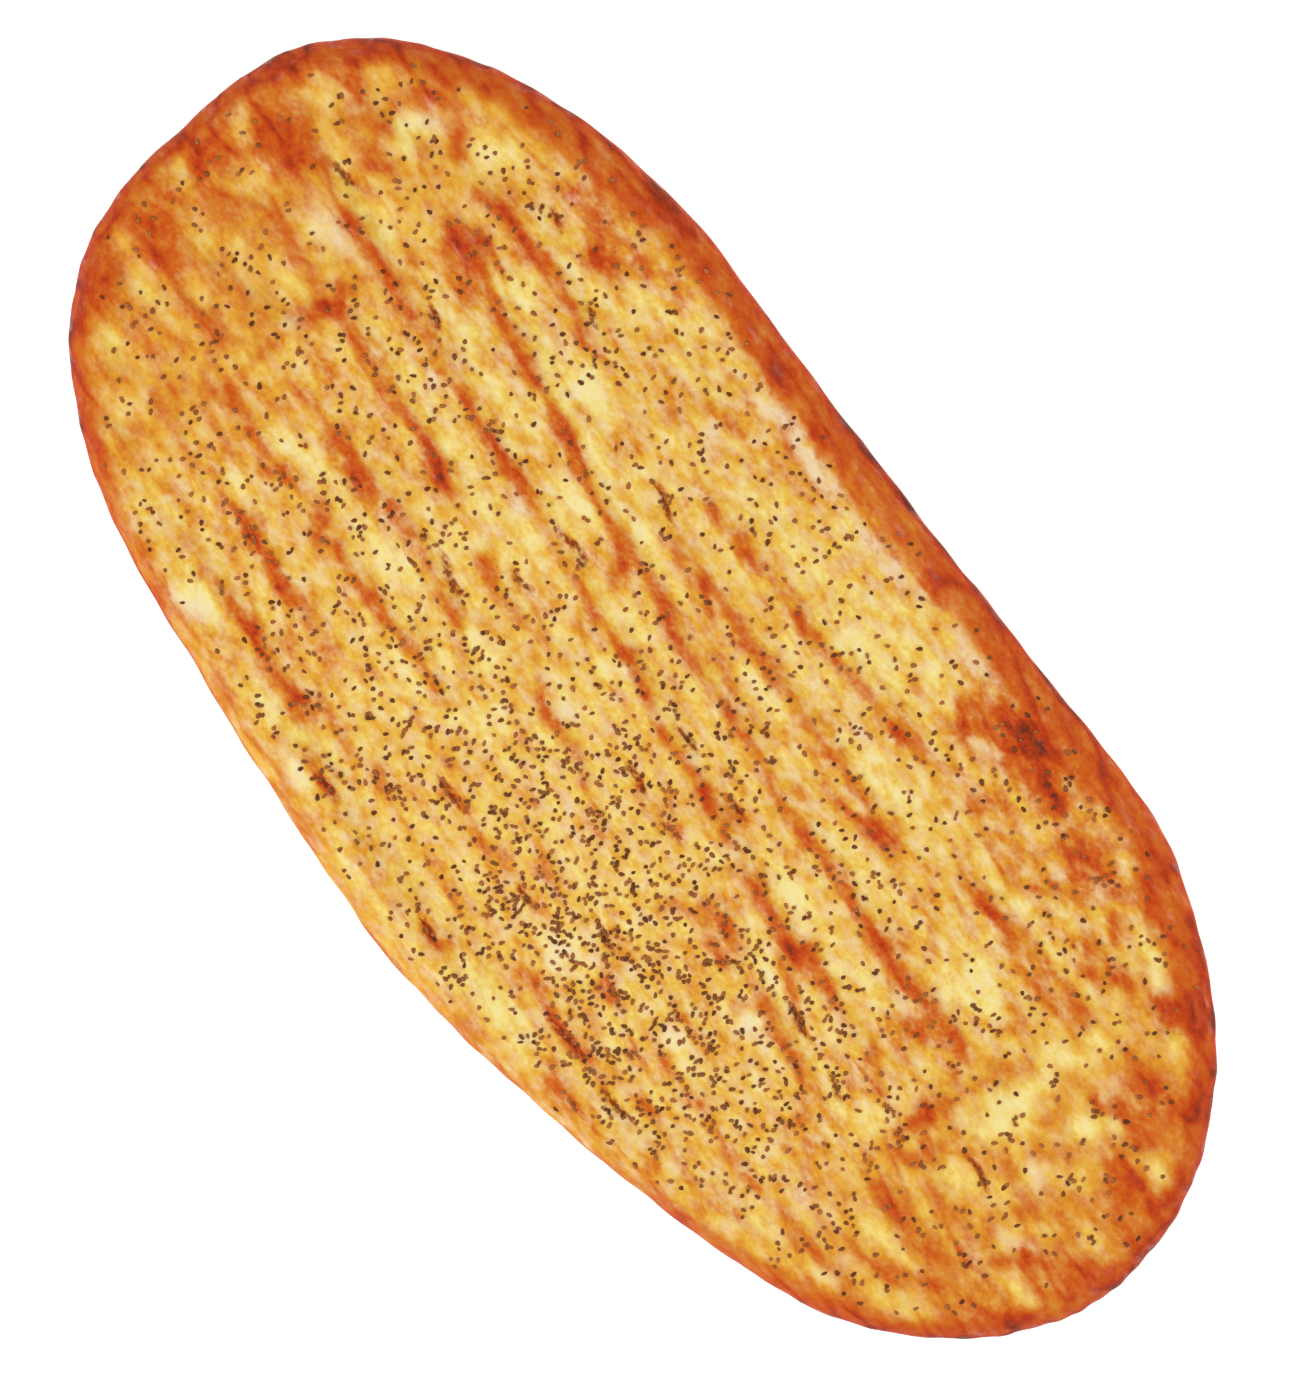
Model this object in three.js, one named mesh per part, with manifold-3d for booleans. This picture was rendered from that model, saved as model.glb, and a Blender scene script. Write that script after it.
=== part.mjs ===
// A whole barbari bread: one long, flat, oval loaf. Its rim is puffed and round, its top is
// pressed into finger channels with narrow ridges between them, its two ends are dotted with
// fingertip dimples, and nigella seeds are baked into the crust. Millimetres, +X along the
// loaf, +Y across it, +Z up, with the origin under the middle of the flat underside.

import * as THREE from 'three';
import { mergeGeometries, mergeVertices } from 'three/addons/utils/BufferGeometryUtils.js';
import Module from 'manifold-3d';

// ---- Driving dimensions -------------------------------------------------------------------

const LENGTH = 597;
const WIDTH = 280;
const SPINE_HALF_LENGTH = 165; // the rings of the top close on this mid line

const CHANNEL_HEIGHT = 19.5; // floor of the finger channels above the table
const END_LIFT = 2; // the two ends are pressed less deeply than the middle
const END_LIFT_FROM = 178; // distance from the middle where that starts, and where it is full
const END_LIFT_TO = 212;
const RIM_LIFT = 3.4; // crest of the puffed rim above the channels
const RIM_CREST_INSET = 13; // distance of that crest from the edge
const RIM_FOOT_INSET = 34; // distance from the edge where the rim has sunk to the channels
const EQUATOR_HEIGHT = 9; // height of the widest line of the round side
const BASE_INSET = 6.5; // the flat underside stops this far inside the edge

const RING_POINTS_PER_SPAN = 4; // between two outline points
const TOP_RING_SPACING = 5.9;
const SIDE_INSETS = [9, 5.2, 2.3, 0.6]; // rings on the shoulder of the round side
const UNDERSIDE_RINGS = 3; // rings that curl under to the flat base

const SEED_LENGTH = 3.2;
const SEED_WIDTH = 1.8;
const SEED_THICKNESS = 1.9;
const SEED_SIDES = 6;
const SEED_COUNT = 200;
const SEED_STANDING = 0.25; // the middle of a seed lies this far above the crust
const SEED_GAP = 11; // least distance between two seeds where they are densest
const SEED_EDGE_CLEARANCE = 10;
const SEED_DRAW = 20; // start of the seeded random draw

// ---- Hand-placed features -------------------------------------------------------------------

// Smooth closed outline of the loaf, counterclockwise from the middle of the +X end.
const OUTLINE = [
  [298, 8], [289, 48], [266, 82], [228, 112], [166, 136], [90, 138], [10, 138], [-70, 139],
  [-148, 140], [-216, 125], [-268, 95], [-295, 55], [-298, 5], [-289, -48], [-258, -88],
  [-200, -116], [-120, -129], [-45, -137], [20, -140], [90, -131], [165, -115], [232, -92],
  [271, -60], [292, -25],
];

// Ridges left between the finger channels: from x, y, to x, y, sideways bow, height.
const RIDGES = [
  [-198, 79, -130, 75, 6, 2.3], [-192, 63, 180, 18, -9, 2.8], [-232, 33, 122, -12, 4, 2.6],
  [108, -6, 184, -17, 1, 2.4], [-206, 7, -108, -3, 0, 2.2], [-92, -12, -50, -10, -3, 1.9],
  [-165, -22, -74, -33, 0, 2.4], [-30, -27, 26, -41, 3, 1.6], [-205, -48, -50, -57, -1, 2.1],
  [6, -61, 44, -70, 1, 1.6], [-176, -75, -98, -82, 0, 1.9], [-172, -97, -80, -101, -2, 1.9],
  [-54, 74, 76, 78, -1, 2.4], [-52, 54, 110, 49, 0, 2.5], [72, 43, 98, 40, 0, 1.7],
  [126, 60, 202, 66, 1, 2.2], [-94, 98, -66, 100, 0, 1.7], [158, 80, 216, 88, -1, 1.9],
  [74, -25, 168, -45, 4, 2.2], [98, -60, 128, -62, 0, 1.6], [108, -76, 224, -76, -3, 1.9],
  [203, -42, 247, -40, 0, 1.8], [58, -97, 112, -104, 0, 1.7], [-84, -113, -14, -122, 0, 1.6],
  [-206, -46, -203, 32, 0, 1.7], [196, -30, 202, 24, 3, 1.4],
];
const RIDGE_HALF_WIDTH = 5.6;
const RIDGE_END_FADE = 13;
const RIDGE_WANDER = 1.3; // side to side

// Fingertip dimples of the ends: middle x, y, half length, half width, depth.
const DIMPLES = [
  [-258, 75, 11, 9, 2.6], [-239, 76, 10, 8, 2.6], [-208, 91, 13, 10, 3], [-190, 72, 8, 6, 2],
  [-270, 53, 9, 7, 2], [-243, 45, 20, 7, 2.4], [-214, 44, 9, 6, 2], [-225, 21, 10, 6, 2.2],
  [-262, 12, 12, 6, 2.2], [-284, -2, 9, 13, 2], [-250, -15, 16, 6, 2.2], [-222, -6, 13, 9, 2.6],
  [-240, -33, 12, 6, 2.4], [-264, -47, 18, 6, 2.2], [-238, -70, 10, 6, 2], [-225, -88, 9, 6, 2],
  [-175, 98, 16, 7, 2], [-145, 89, 12, 6, 1.8], [-100, 118, 18, 6, 1.8], [240, 86, 10, 8, 2.6],
  [270, 52, 10, 9, 2.6], [217, 32, 11, 34, 3], [240, 37, 8, 6, 2], [277, 13, 8, 6, 2.2],
  [240, 11, 8, 6, 2], [222, -14, 10, 6, 2.2], [268, -25, 13, 6, 2.2], [225, -52, 14, 7, 2.4],
  [258, -60, 12, 6, 2], [215, 70, 10, 7, 2.2], [204, 104, 14, 7, 2],
];

// Blisters that rose and browned: middle x, y, half length, half width, height.
const BLISTERS = [
  [104, 109, 30, 11, 3.4], [160, 106, 12, 8, 2.6], [225, 97, 9, 10, 3], [-191, 61, 11, 10, 1.8],
  [-272, 78, 8, 12, 1.8], [-262, 32, 16, 10, 1.6], [-268, -66, 10, 10, 1.4],
];

// ---- Shape of the crust ---------------------------------------------------------------------

const smoothstep = (value, from, to) => THREE.MathUtils.smoothstep(value, from, to);
const bell = (squaredDistance) => Math.exp(-squaredDistance);

/** Samples the outline as one closed curve and fits it to the loaf's length and width. */
function outlineRing() {
  const points = OUTLINE.map(([x, y]) => new THREE.Vector3(x, y, 0));
  const curve = new THREE.CatmullRomCurve3(points, true, 'catmullrom', 0.5);
  const ring = curve.getPoints(OUTLINE.length * RING_POINTS_PER_SPAN).slice(0, -1);
  const box = new THREE.Box3().setFromPoints(ring);
  const middle = box.getCenter(new THREE.Vector3());
  const size = box.getSize(new THREE.Vector3());
  return ring.map((point) => new THREE.Vector2(
    ((point.x - middle.x) * LENGTH) / size.x,
    ((point.y - middle.y) * WIDTH) / size.y,
  ));
}

/** The point of the mid line that ring point number `index` is drawn towards. */
function spinePoint(index, count) {
  return new THREE.Vector2(SPINE_HALF_LENGTH * Math.cos((2 * Math.PI * index) / count), 0);
}

/** Height that one ridge adds at x, y. Its crest wanders a little and is uneven. */
function ridgeHeight(x, y, [fromX, fromY, toX, toY, bow, height]) {
  const length = Math.hypot(toX - fromX, toY - fromY);
  const alongX = (toX - fromX) / length;
  const alongY = (toY - fromY) / length;
  const along = (x - fromX) * alongX + (y - fromY) * alongY;
  const share = THREE.MathUtils.clamp(along / length, 0, 1);
  const wander = RIDGE_WANDER * Math.sin(along / 11 + fromY);
  const across = (y - fromY) * alongX - (x - fromX) * alongY - 4 * bow * share * (1 - share) - wander;
  const fade = smoothstep(along, -RIDGE_END_FADE, RIDGE_END_FADE)
    * (1 - smoothstep(along, length - RIDGE_END_FADE, length + RIDGE_END_FADE));
  const uneven = 0.84 + 0.16 * Math.sin(along / 17 + fromX);
  return height * fade * uneven * bell((across / RIDGE_HALF_WIDTH) ** 2);
}

/** Height that one oval bump adds at x, y: a blister, or a dimple where the height is below 0. */
function bumpHeight(x, y, [middleX, middleY, halfLength, halfWidth], height) {
  const distance = Math.hypot((x - middleX) / halfLength, (y - middleY) / halfWidth);
  return height * bell(distance ** 3);
}

/** Slow swells of the dough. */
function swell(x, y) {
  return 0.5 * Math.sin(x / 31 + 1.3) * Math.cos(y / 24 + 0.5) + 0.35 * Math.sin(x / 15 - y / 12 + 2);
}

/** Height of the crust above the table at x, y, at a given distance inside the edge. */
function crustHeight(x, y, inset) {
  const rim = RIM_LIFT * (1 - smoothstep(inset, RIM_CREST_INSET, RIM_FOOT_INSET));
  const ends = END_LIFT * smoothstep(Math.abs(x), END_LIFT_FROM, END_LIFT_TO);
  const ridges = RIDGES.reduce((sum, ridge) => Math.max(sum, ridgeHeight(x, y, ridge)), 0);
  const dimples = DIMPLES.reduce((sum, dimple) => sum + bumpHeight(x, y, dimple, -dimple[4]), 0);
  const blisters = BLISTERS.reduce((sum, blister) => sum + bumpHeight(x, y, blister, blister[4]), 0);
  const relief = Math.max(rim, ends) + ridges + dimples + blisters + swell(x, y);
  return CHANNEL_HEIGHT + relief * smoothstep(inset, 0, RIM_CREST_INSET);
}

/** Height on the round side above the widest line: a quarter oval up to the crest of the rim. */
function shoulderHeight(x, y, inset) {
  const rise = Math.sqrt(1 - (1 - Math.min(inset / RIM_CREST_INSET, 1)) ** 2.6);
  return EQUATOR_HEIGHT + (crustHeight(x, y, inset) - EQUATOR_HEIGHT) * rise;
}

/** The loaf's rings from the mid line out over the rim and under, as [inset, height rule]. */
function ringProfile(halfWidth) {
  const profile = [];
  const topRings = Math.round((halfWidth - RIM_CREST_INSET) / TOP_RING_SPACING);
  for (let ring = 0; ring <= topRings; ring += 1) {
    const share = ring / topRings;
    profile.push([THREE.MathUtils.lerp(halfWidth, RIM_CREST_INSET, share), shoulderHeight]);
  }
  SIDE_INSETS.forEach((inset) => profile.push([inset, shoulderHeight]));
  profile.push([0, () => EQUATOR_HEIGHT]);
  for (let ring = 1; ring <= UNDERSIDE_RINGS; ring += 1) {
    const turn = (ring / UNDERSIDE_RINGS) * (Math.PI / 2);
    profile.push([BASE_INSET * (1 - Math.cos(turn)), () => EQUATOR_HEIGHT * (1 - Math.sin(turn))]);
  }
  profile.push([halfWidth, () => 0]);
  return profile;
}

/** The bare loaf as one closed geometry with merged vertices. */
function loafGeometry() {
  const outline = outlineRing();
  const count = outline.length;
  const halfWidth = WIDTH / 2;
  const profile = ringProfile(halfWidth);
  const positions = [];
  profile.forEach(([inset, heightAt]) => outline.forEach((edge, index) => {
    const point = edge.clone().lerp(spinePoint(index, count), inset / halfWidth);
    positions.push(point.x, point.y, heightAt(point.x, point.y, inset));
  }));
  const faces = [];
  for (let ring = 0; ring < profile.length - 1; ring += 1) {
    for (let index = 0; index < count; index += 1) {
      const next = (index + 1) % count;
      const inner = ring * count;
      const outer = inner + count;
      faces.push([inner + index, outer + index, outer + next]);
      faces.push([inner + index, outer + next, inner + next]);
    }
  }
  return closedGeometry(positions, faces);
}

/** Makes an indexed geometry, merges vertices that coincide and drops faces without area. */
function closedGeometry(positions, faces) {
  const geometry = new THREE.BufferGeometry();
  geometry.setAttribute('position', new THREE.Float32BufferAttribute(positions, 3));
  geometry.setIndex(faces.flat());
  const merged = mergeVertices(geometry, 1e-3);
  const index = merged.getIndex().array;
  const kept = [];
  for (let corner = 0; corner < index.length; corner += 3) {
    const [a, b, c] = index.subarray(corner, corner + 3);
    if (a !== b && b !== c && c !== a) kept.push(a, b, c);
  }
  merged.setIndex(kept);
  return merged;
}

// ---- Nigella seeds --------------------------------------------------------------------------

/** A seeded random generator that returns numbers from 0 to 1. */
function randomDraw(start) {
  let state = start;
  return () => {
    state = (Math.imul(state, 1664525) + 1013904223) >>> 0;
    return state / 2 ** 32;
  };
}

/** How thickly seeds lie at x, y, from 0 to 1: sparse at the ends and along the +Y side. */
function seedDensity(x, y) {
  const ends = 1 - smoothstep(Math.abs(x), 190, 290);
  const upperSide = 1 - smoothstep(y, 70, 135);
  const cluster = bell(((x - 60) / 150) ** 2 + ((y + 70) / 60) ** 2);
  return (0.25 + 0.75 * ends) * (0.3 + 0.7 * upperSide) * (0.62 + 0.38 * cluster);
}

/** Distance from x, y to the outline, less than 0 outside it. */
function edgeDistance(x, y, outline) {
  let inside = false;
  let nearest = Infinity;
  outline.forEach((from, index) => {
    const to = outline[(index + 1) % outline.length];
    if ((from.y > y) !== (to.y > y) && x < from.x + ((y - from.y) * (to.x - from.x)) / (to.y - from.y)) {
      inside = !inside;
    }
    nearest = Math.min(nearest, Math.hypot(from.x - x, from.y - y));
  });
  return inside ? nearest : -nearest;
}

/** Scatters seed places over the crust, evenly, with wider gaps where seeds are sparse. */
function seedPlaces(random) {
  const outline = outlineRing();
  const places = [];
  while (places.length < SEED_COUNT) {
    const x = (random() - 0.5) * LENGTH;
    const y = (random() - 0.5) * WIDTH;
    const gap = SEED_GAP / Math.sqrt(seedDensity(x, y));
    const clear = places.every((place) => Math.hypot(place.x - x, place.y - y) > gap);
    if (clear && edgeDistance(x, y, outline) > SEED_EDGE_CLEARANCE) places.push({ x, y });
  }
  return places;
}

/** One seed: a small six-sided oval with a keel, longest along its own X axis. */
function seedGeometry() {
  const seed = new THREE.SphereGeometry(1, SEED_SIDES, 2);
  seed.rotateX(Math.PI / 2);
  seed.scale(SEED_LENGTH / 2, SEED_WIDTH / 2, SEED_THICKNESS / 2);
  seed.deleteAttribute('normal');
  seed.deleteAttribute('uv');
  return seed;
}

/** All seeds, each lying flat on the crust below its place and turned at random. */
function seedsGeometry(loaf) {
  const random = randomDraw(SEED_DRAW);
  const crust = new THREE.Mesh(loaf);
  const down = new THREE.Vector3(0, 0, -1);
  const up = new THREE.Vector3(0, 0, 1);
  const seeds = seedPlaces(random).map(({ x, y }) => {
    const ray = new THREE.Raycaster(new THREE.Vector3(x, y, 100), down);
    const [hit] = ray.intersectObject(crust);
    const yaw = new THREE.Quaternion().setFromAxisAngle(up, random() * Math.PI);
    const lie = new THREE.Quaternion().setFromUnitVectors(up, hit.face.normal).multiply(yaw);
    const middle = hit.point.clone().addScaledVector(hit.face.normal, SEED_STANDING);
    const placed = new THREE.Matrix4().compose(middle, lie, new THREE.Vector3(1, 1, 1));
    return seedGeometry().applyMatrix4(placed);
  });
  return mergeVertices(mergeGeometries(seeds), 1e-4);
}

// ---- Joining --------------------------------------------------------------------------------

/** Turns a closed geometry into a solid. */
function toSolid(wasm, geometry) {
  const vertProperties = new Float32Array(geometry.getAttribute('position').array);
  const triVerts = new Uint32Array(geometry.getIndex().array);
  return new wasm.Manifold(new wasm.Mesh({ numProp: 3, vertProperties, triVerts }));
}

/** Turns a solid back into a geometry with normals. */
function toGeometry(solid) {
  const { numProp, vertProperties, triVerts } = solid.getMesh();
  const geometry = new THREE.BufferGeometry();
  const positions = new THREE.InterleavedBuffer(vertProperties, numProp);
  geometry.setAttribute('position', new THREE.InterleavedBufferAttribute(positions, 3, 0));
  geometry.setIndex(new THREE.BufferAttribute(triVerts, 1));
  geometry.computeVertexNormals();
  return geometry;
}

/** The bread: the loaf with the seeds fused to its crust, as one solid. */
async function bread() {
  const wasm = await Module();
  wasm.setup();
  const loaf = loafGeometry();
  const solid = toSolid(wasm, loaf).add(toSolid(wasm, seedsGeometry(loaf)));
  const crust = new THREE.MeshStandardMaterial({ color: 0xe3a54c, roughness: 0.45, metalness: 0 });
  const mesh = new THREE.Mesh(toGeometry(solid), crust);
  mesh.name = 'bread';
  return mesh;
}

const barbari = new THREE.Group();
barbari.add(await bread());

export default barbari;
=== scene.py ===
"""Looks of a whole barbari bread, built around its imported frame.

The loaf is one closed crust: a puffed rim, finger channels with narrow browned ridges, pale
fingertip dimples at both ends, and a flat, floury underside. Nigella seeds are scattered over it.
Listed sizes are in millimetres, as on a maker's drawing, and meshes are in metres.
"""

from __future__ import annotations

import logging
import math
from dataclasses import dataclass
from enum import Enum
from typing import Any, Sequence

import bpy
import numpy as np
from mathutils import Matrix, Vector

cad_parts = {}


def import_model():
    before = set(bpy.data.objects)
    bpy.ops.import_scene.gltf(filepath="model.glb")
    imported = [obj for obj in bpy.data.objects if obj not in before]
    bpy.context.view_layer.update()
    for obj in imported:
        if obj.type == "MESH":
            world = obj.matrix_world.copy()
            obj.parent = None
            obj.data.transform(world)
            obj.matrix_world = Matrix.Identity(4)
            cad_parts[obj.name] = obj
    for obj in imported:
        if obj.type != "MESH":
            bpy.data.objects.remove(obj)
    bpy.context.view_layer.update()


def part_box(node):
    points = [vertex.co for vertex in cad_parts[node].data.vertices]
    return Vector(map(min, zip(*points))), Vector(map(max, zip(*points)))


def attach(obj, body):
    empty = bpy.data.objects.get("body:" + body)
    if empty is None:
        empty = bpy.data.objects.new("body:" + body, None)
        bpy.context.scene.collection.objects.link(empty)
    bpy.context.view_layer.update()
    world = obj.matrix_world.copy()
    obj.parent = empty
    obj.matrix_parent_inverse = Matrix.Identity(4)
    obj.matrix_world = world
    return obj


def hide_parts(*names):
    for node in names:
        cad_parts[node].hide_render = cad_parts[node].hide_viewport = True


log = logging.getLogger("barbari")

MM = 0.001
BREAD_NODE = "bread"
BODY = "root"

Colour = tuple[float, float, float]
Size = tuple[float, float, float]
Pair = tuple[float, float]
Row = tuple[float, ...]


# ---- Listed features ----

# Points of the outline, counterclockwise from the middle of the +X end.
OUTLINE_POINTS: tuple[Pair, ...] = (
    (298, 8), (289, 48), (266, 82), (228, 112), (166, 136), (90, 138), (10, 138), (-70, 139),
    (-148, 140), (-216, 125), (-268, 95), (-295, 55), (-298, 5), (-289, -48), (-258, -88),
    (-200, -116), (-120, -129), (-45, -137), (20, -140), (90, -131), (165, -115), (232, -92),
    (271, -60), (292, -25),
)

# Ridges left between the finger channels: from x, y, to x, y, sideways bow, height.
RIDGE_ROWS: tuple[Row, ...] = (
    (-198, 79, -130, 75, 6, 2.3), (-192, 63, 180, 18, -9, 2.8), (-232, 33, 122, -12, 4, 2.6),
    (108, -6, 184, -17, 1, 2.4), (-206, 7, -108, -3, 0, 2.2), (-92, -12, -50, -10, -3, 1.9),
    (-165, -22, -74, -33, 0, 2.4), (-30, -27, 26, -41, 3, 1.6), (-205, -48, -50, -57, -1, 2.1),
    (6, -61, 44, -70, 1, 1.6), (-176, -75, -98, -82, 0, 1.9), (-172, -97, -80, -101, -2, 1.9),
    (-54, 74, 76, 78, -1, 2.4), (-52, 54, 110, 49, 0, 2.5), (72, 43, 98, 40, 0, 1.7),
    (126, 60, 202, 66, 1, 2.2), (-94, 98, -66, 100, 0, 1.7), (158, 80, 216, 88, -1, 1.9),
    (74, -25, 168, -45, 4, 2.2), (98, -60, 128, -62, 0, 1.6), (108, -76, 224, -76, -3, 1.9),
    (203, -42, 247, -40, 0, 1.8), (58, -97, 112, -104, 0, 1.7), (-84, -113, -14, -122, 0, 1.6),
    (-206, -46, -203, 32, 0, 1.7), (196, -30, 202, 24, 3, 1.4),
)

# Fingertip dimples of the ends: middle x, y, half length, half width, depth.
DIMPLE_ROWS: tuple[Row, ...] = (
    (-258, 75, 11, 9, 2.6), (-239, 76, 10, 8, 2.6), (-208, 91, 13, 10, 3), (-190, 72, 8, 6, 2),
    (-270, 53, 9, 7, 2), (-243, 45, 20, 7, 2.4), (-214, 44, 9, 6, 2), (-225, 21, 10, 6, 2.2),
    (-262, 12, 12, 6, 2.2), (-284, -2, 9, 13, 2), (-250, -15, 16, 6, 2.2), (-222, -6, 13, 9, 2.6),
    (-240, -33, 12, 6, 2.4), (-264, -47, 18, 6, 2.2), (-238, -70, 10, 6, 2), (-225, -88, 9, 6, 2),
    (-175, 98, 16, 7, 2), (-145, 89, 12, 6, 1.8), (-100, 118, 18, 6, 1.8), (240, 86, 10, 8, 2.6),
    (270, 52, 10, 9, 2.6), (217, 32, 11, 34, 3), (240, 37, 8, 6, 2), (277, 13, 8, 6, 2.2),
    (240, 11, 8, 6, 2), (222, -14, 10, 6, 2.2), (268, -25, 13, 6, 2.2), (225, -52, 14, 7, 2.4),
    (258, -60, 12, 6, 2), (215, 70, 10, 7, 2.2), (204, 104, 14, 7, 2),
)

# Blisters that rose and browned: middle x, y, half length, half width, height.
BLISTER_ROWS: tuple[Row, ...] = (
    (104, 109, 30, 11, 3.4), (160, 106, 12, 8, 2.6), (225, 97, 9, 10, 3), (-191, 61, 11, 10, 1.8),
    (-272, 78, 8, 12, 1.8), (-262, 32, 16, 10, 1.6), (-268, -66, 10, 10, 1.4),
)

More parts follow.
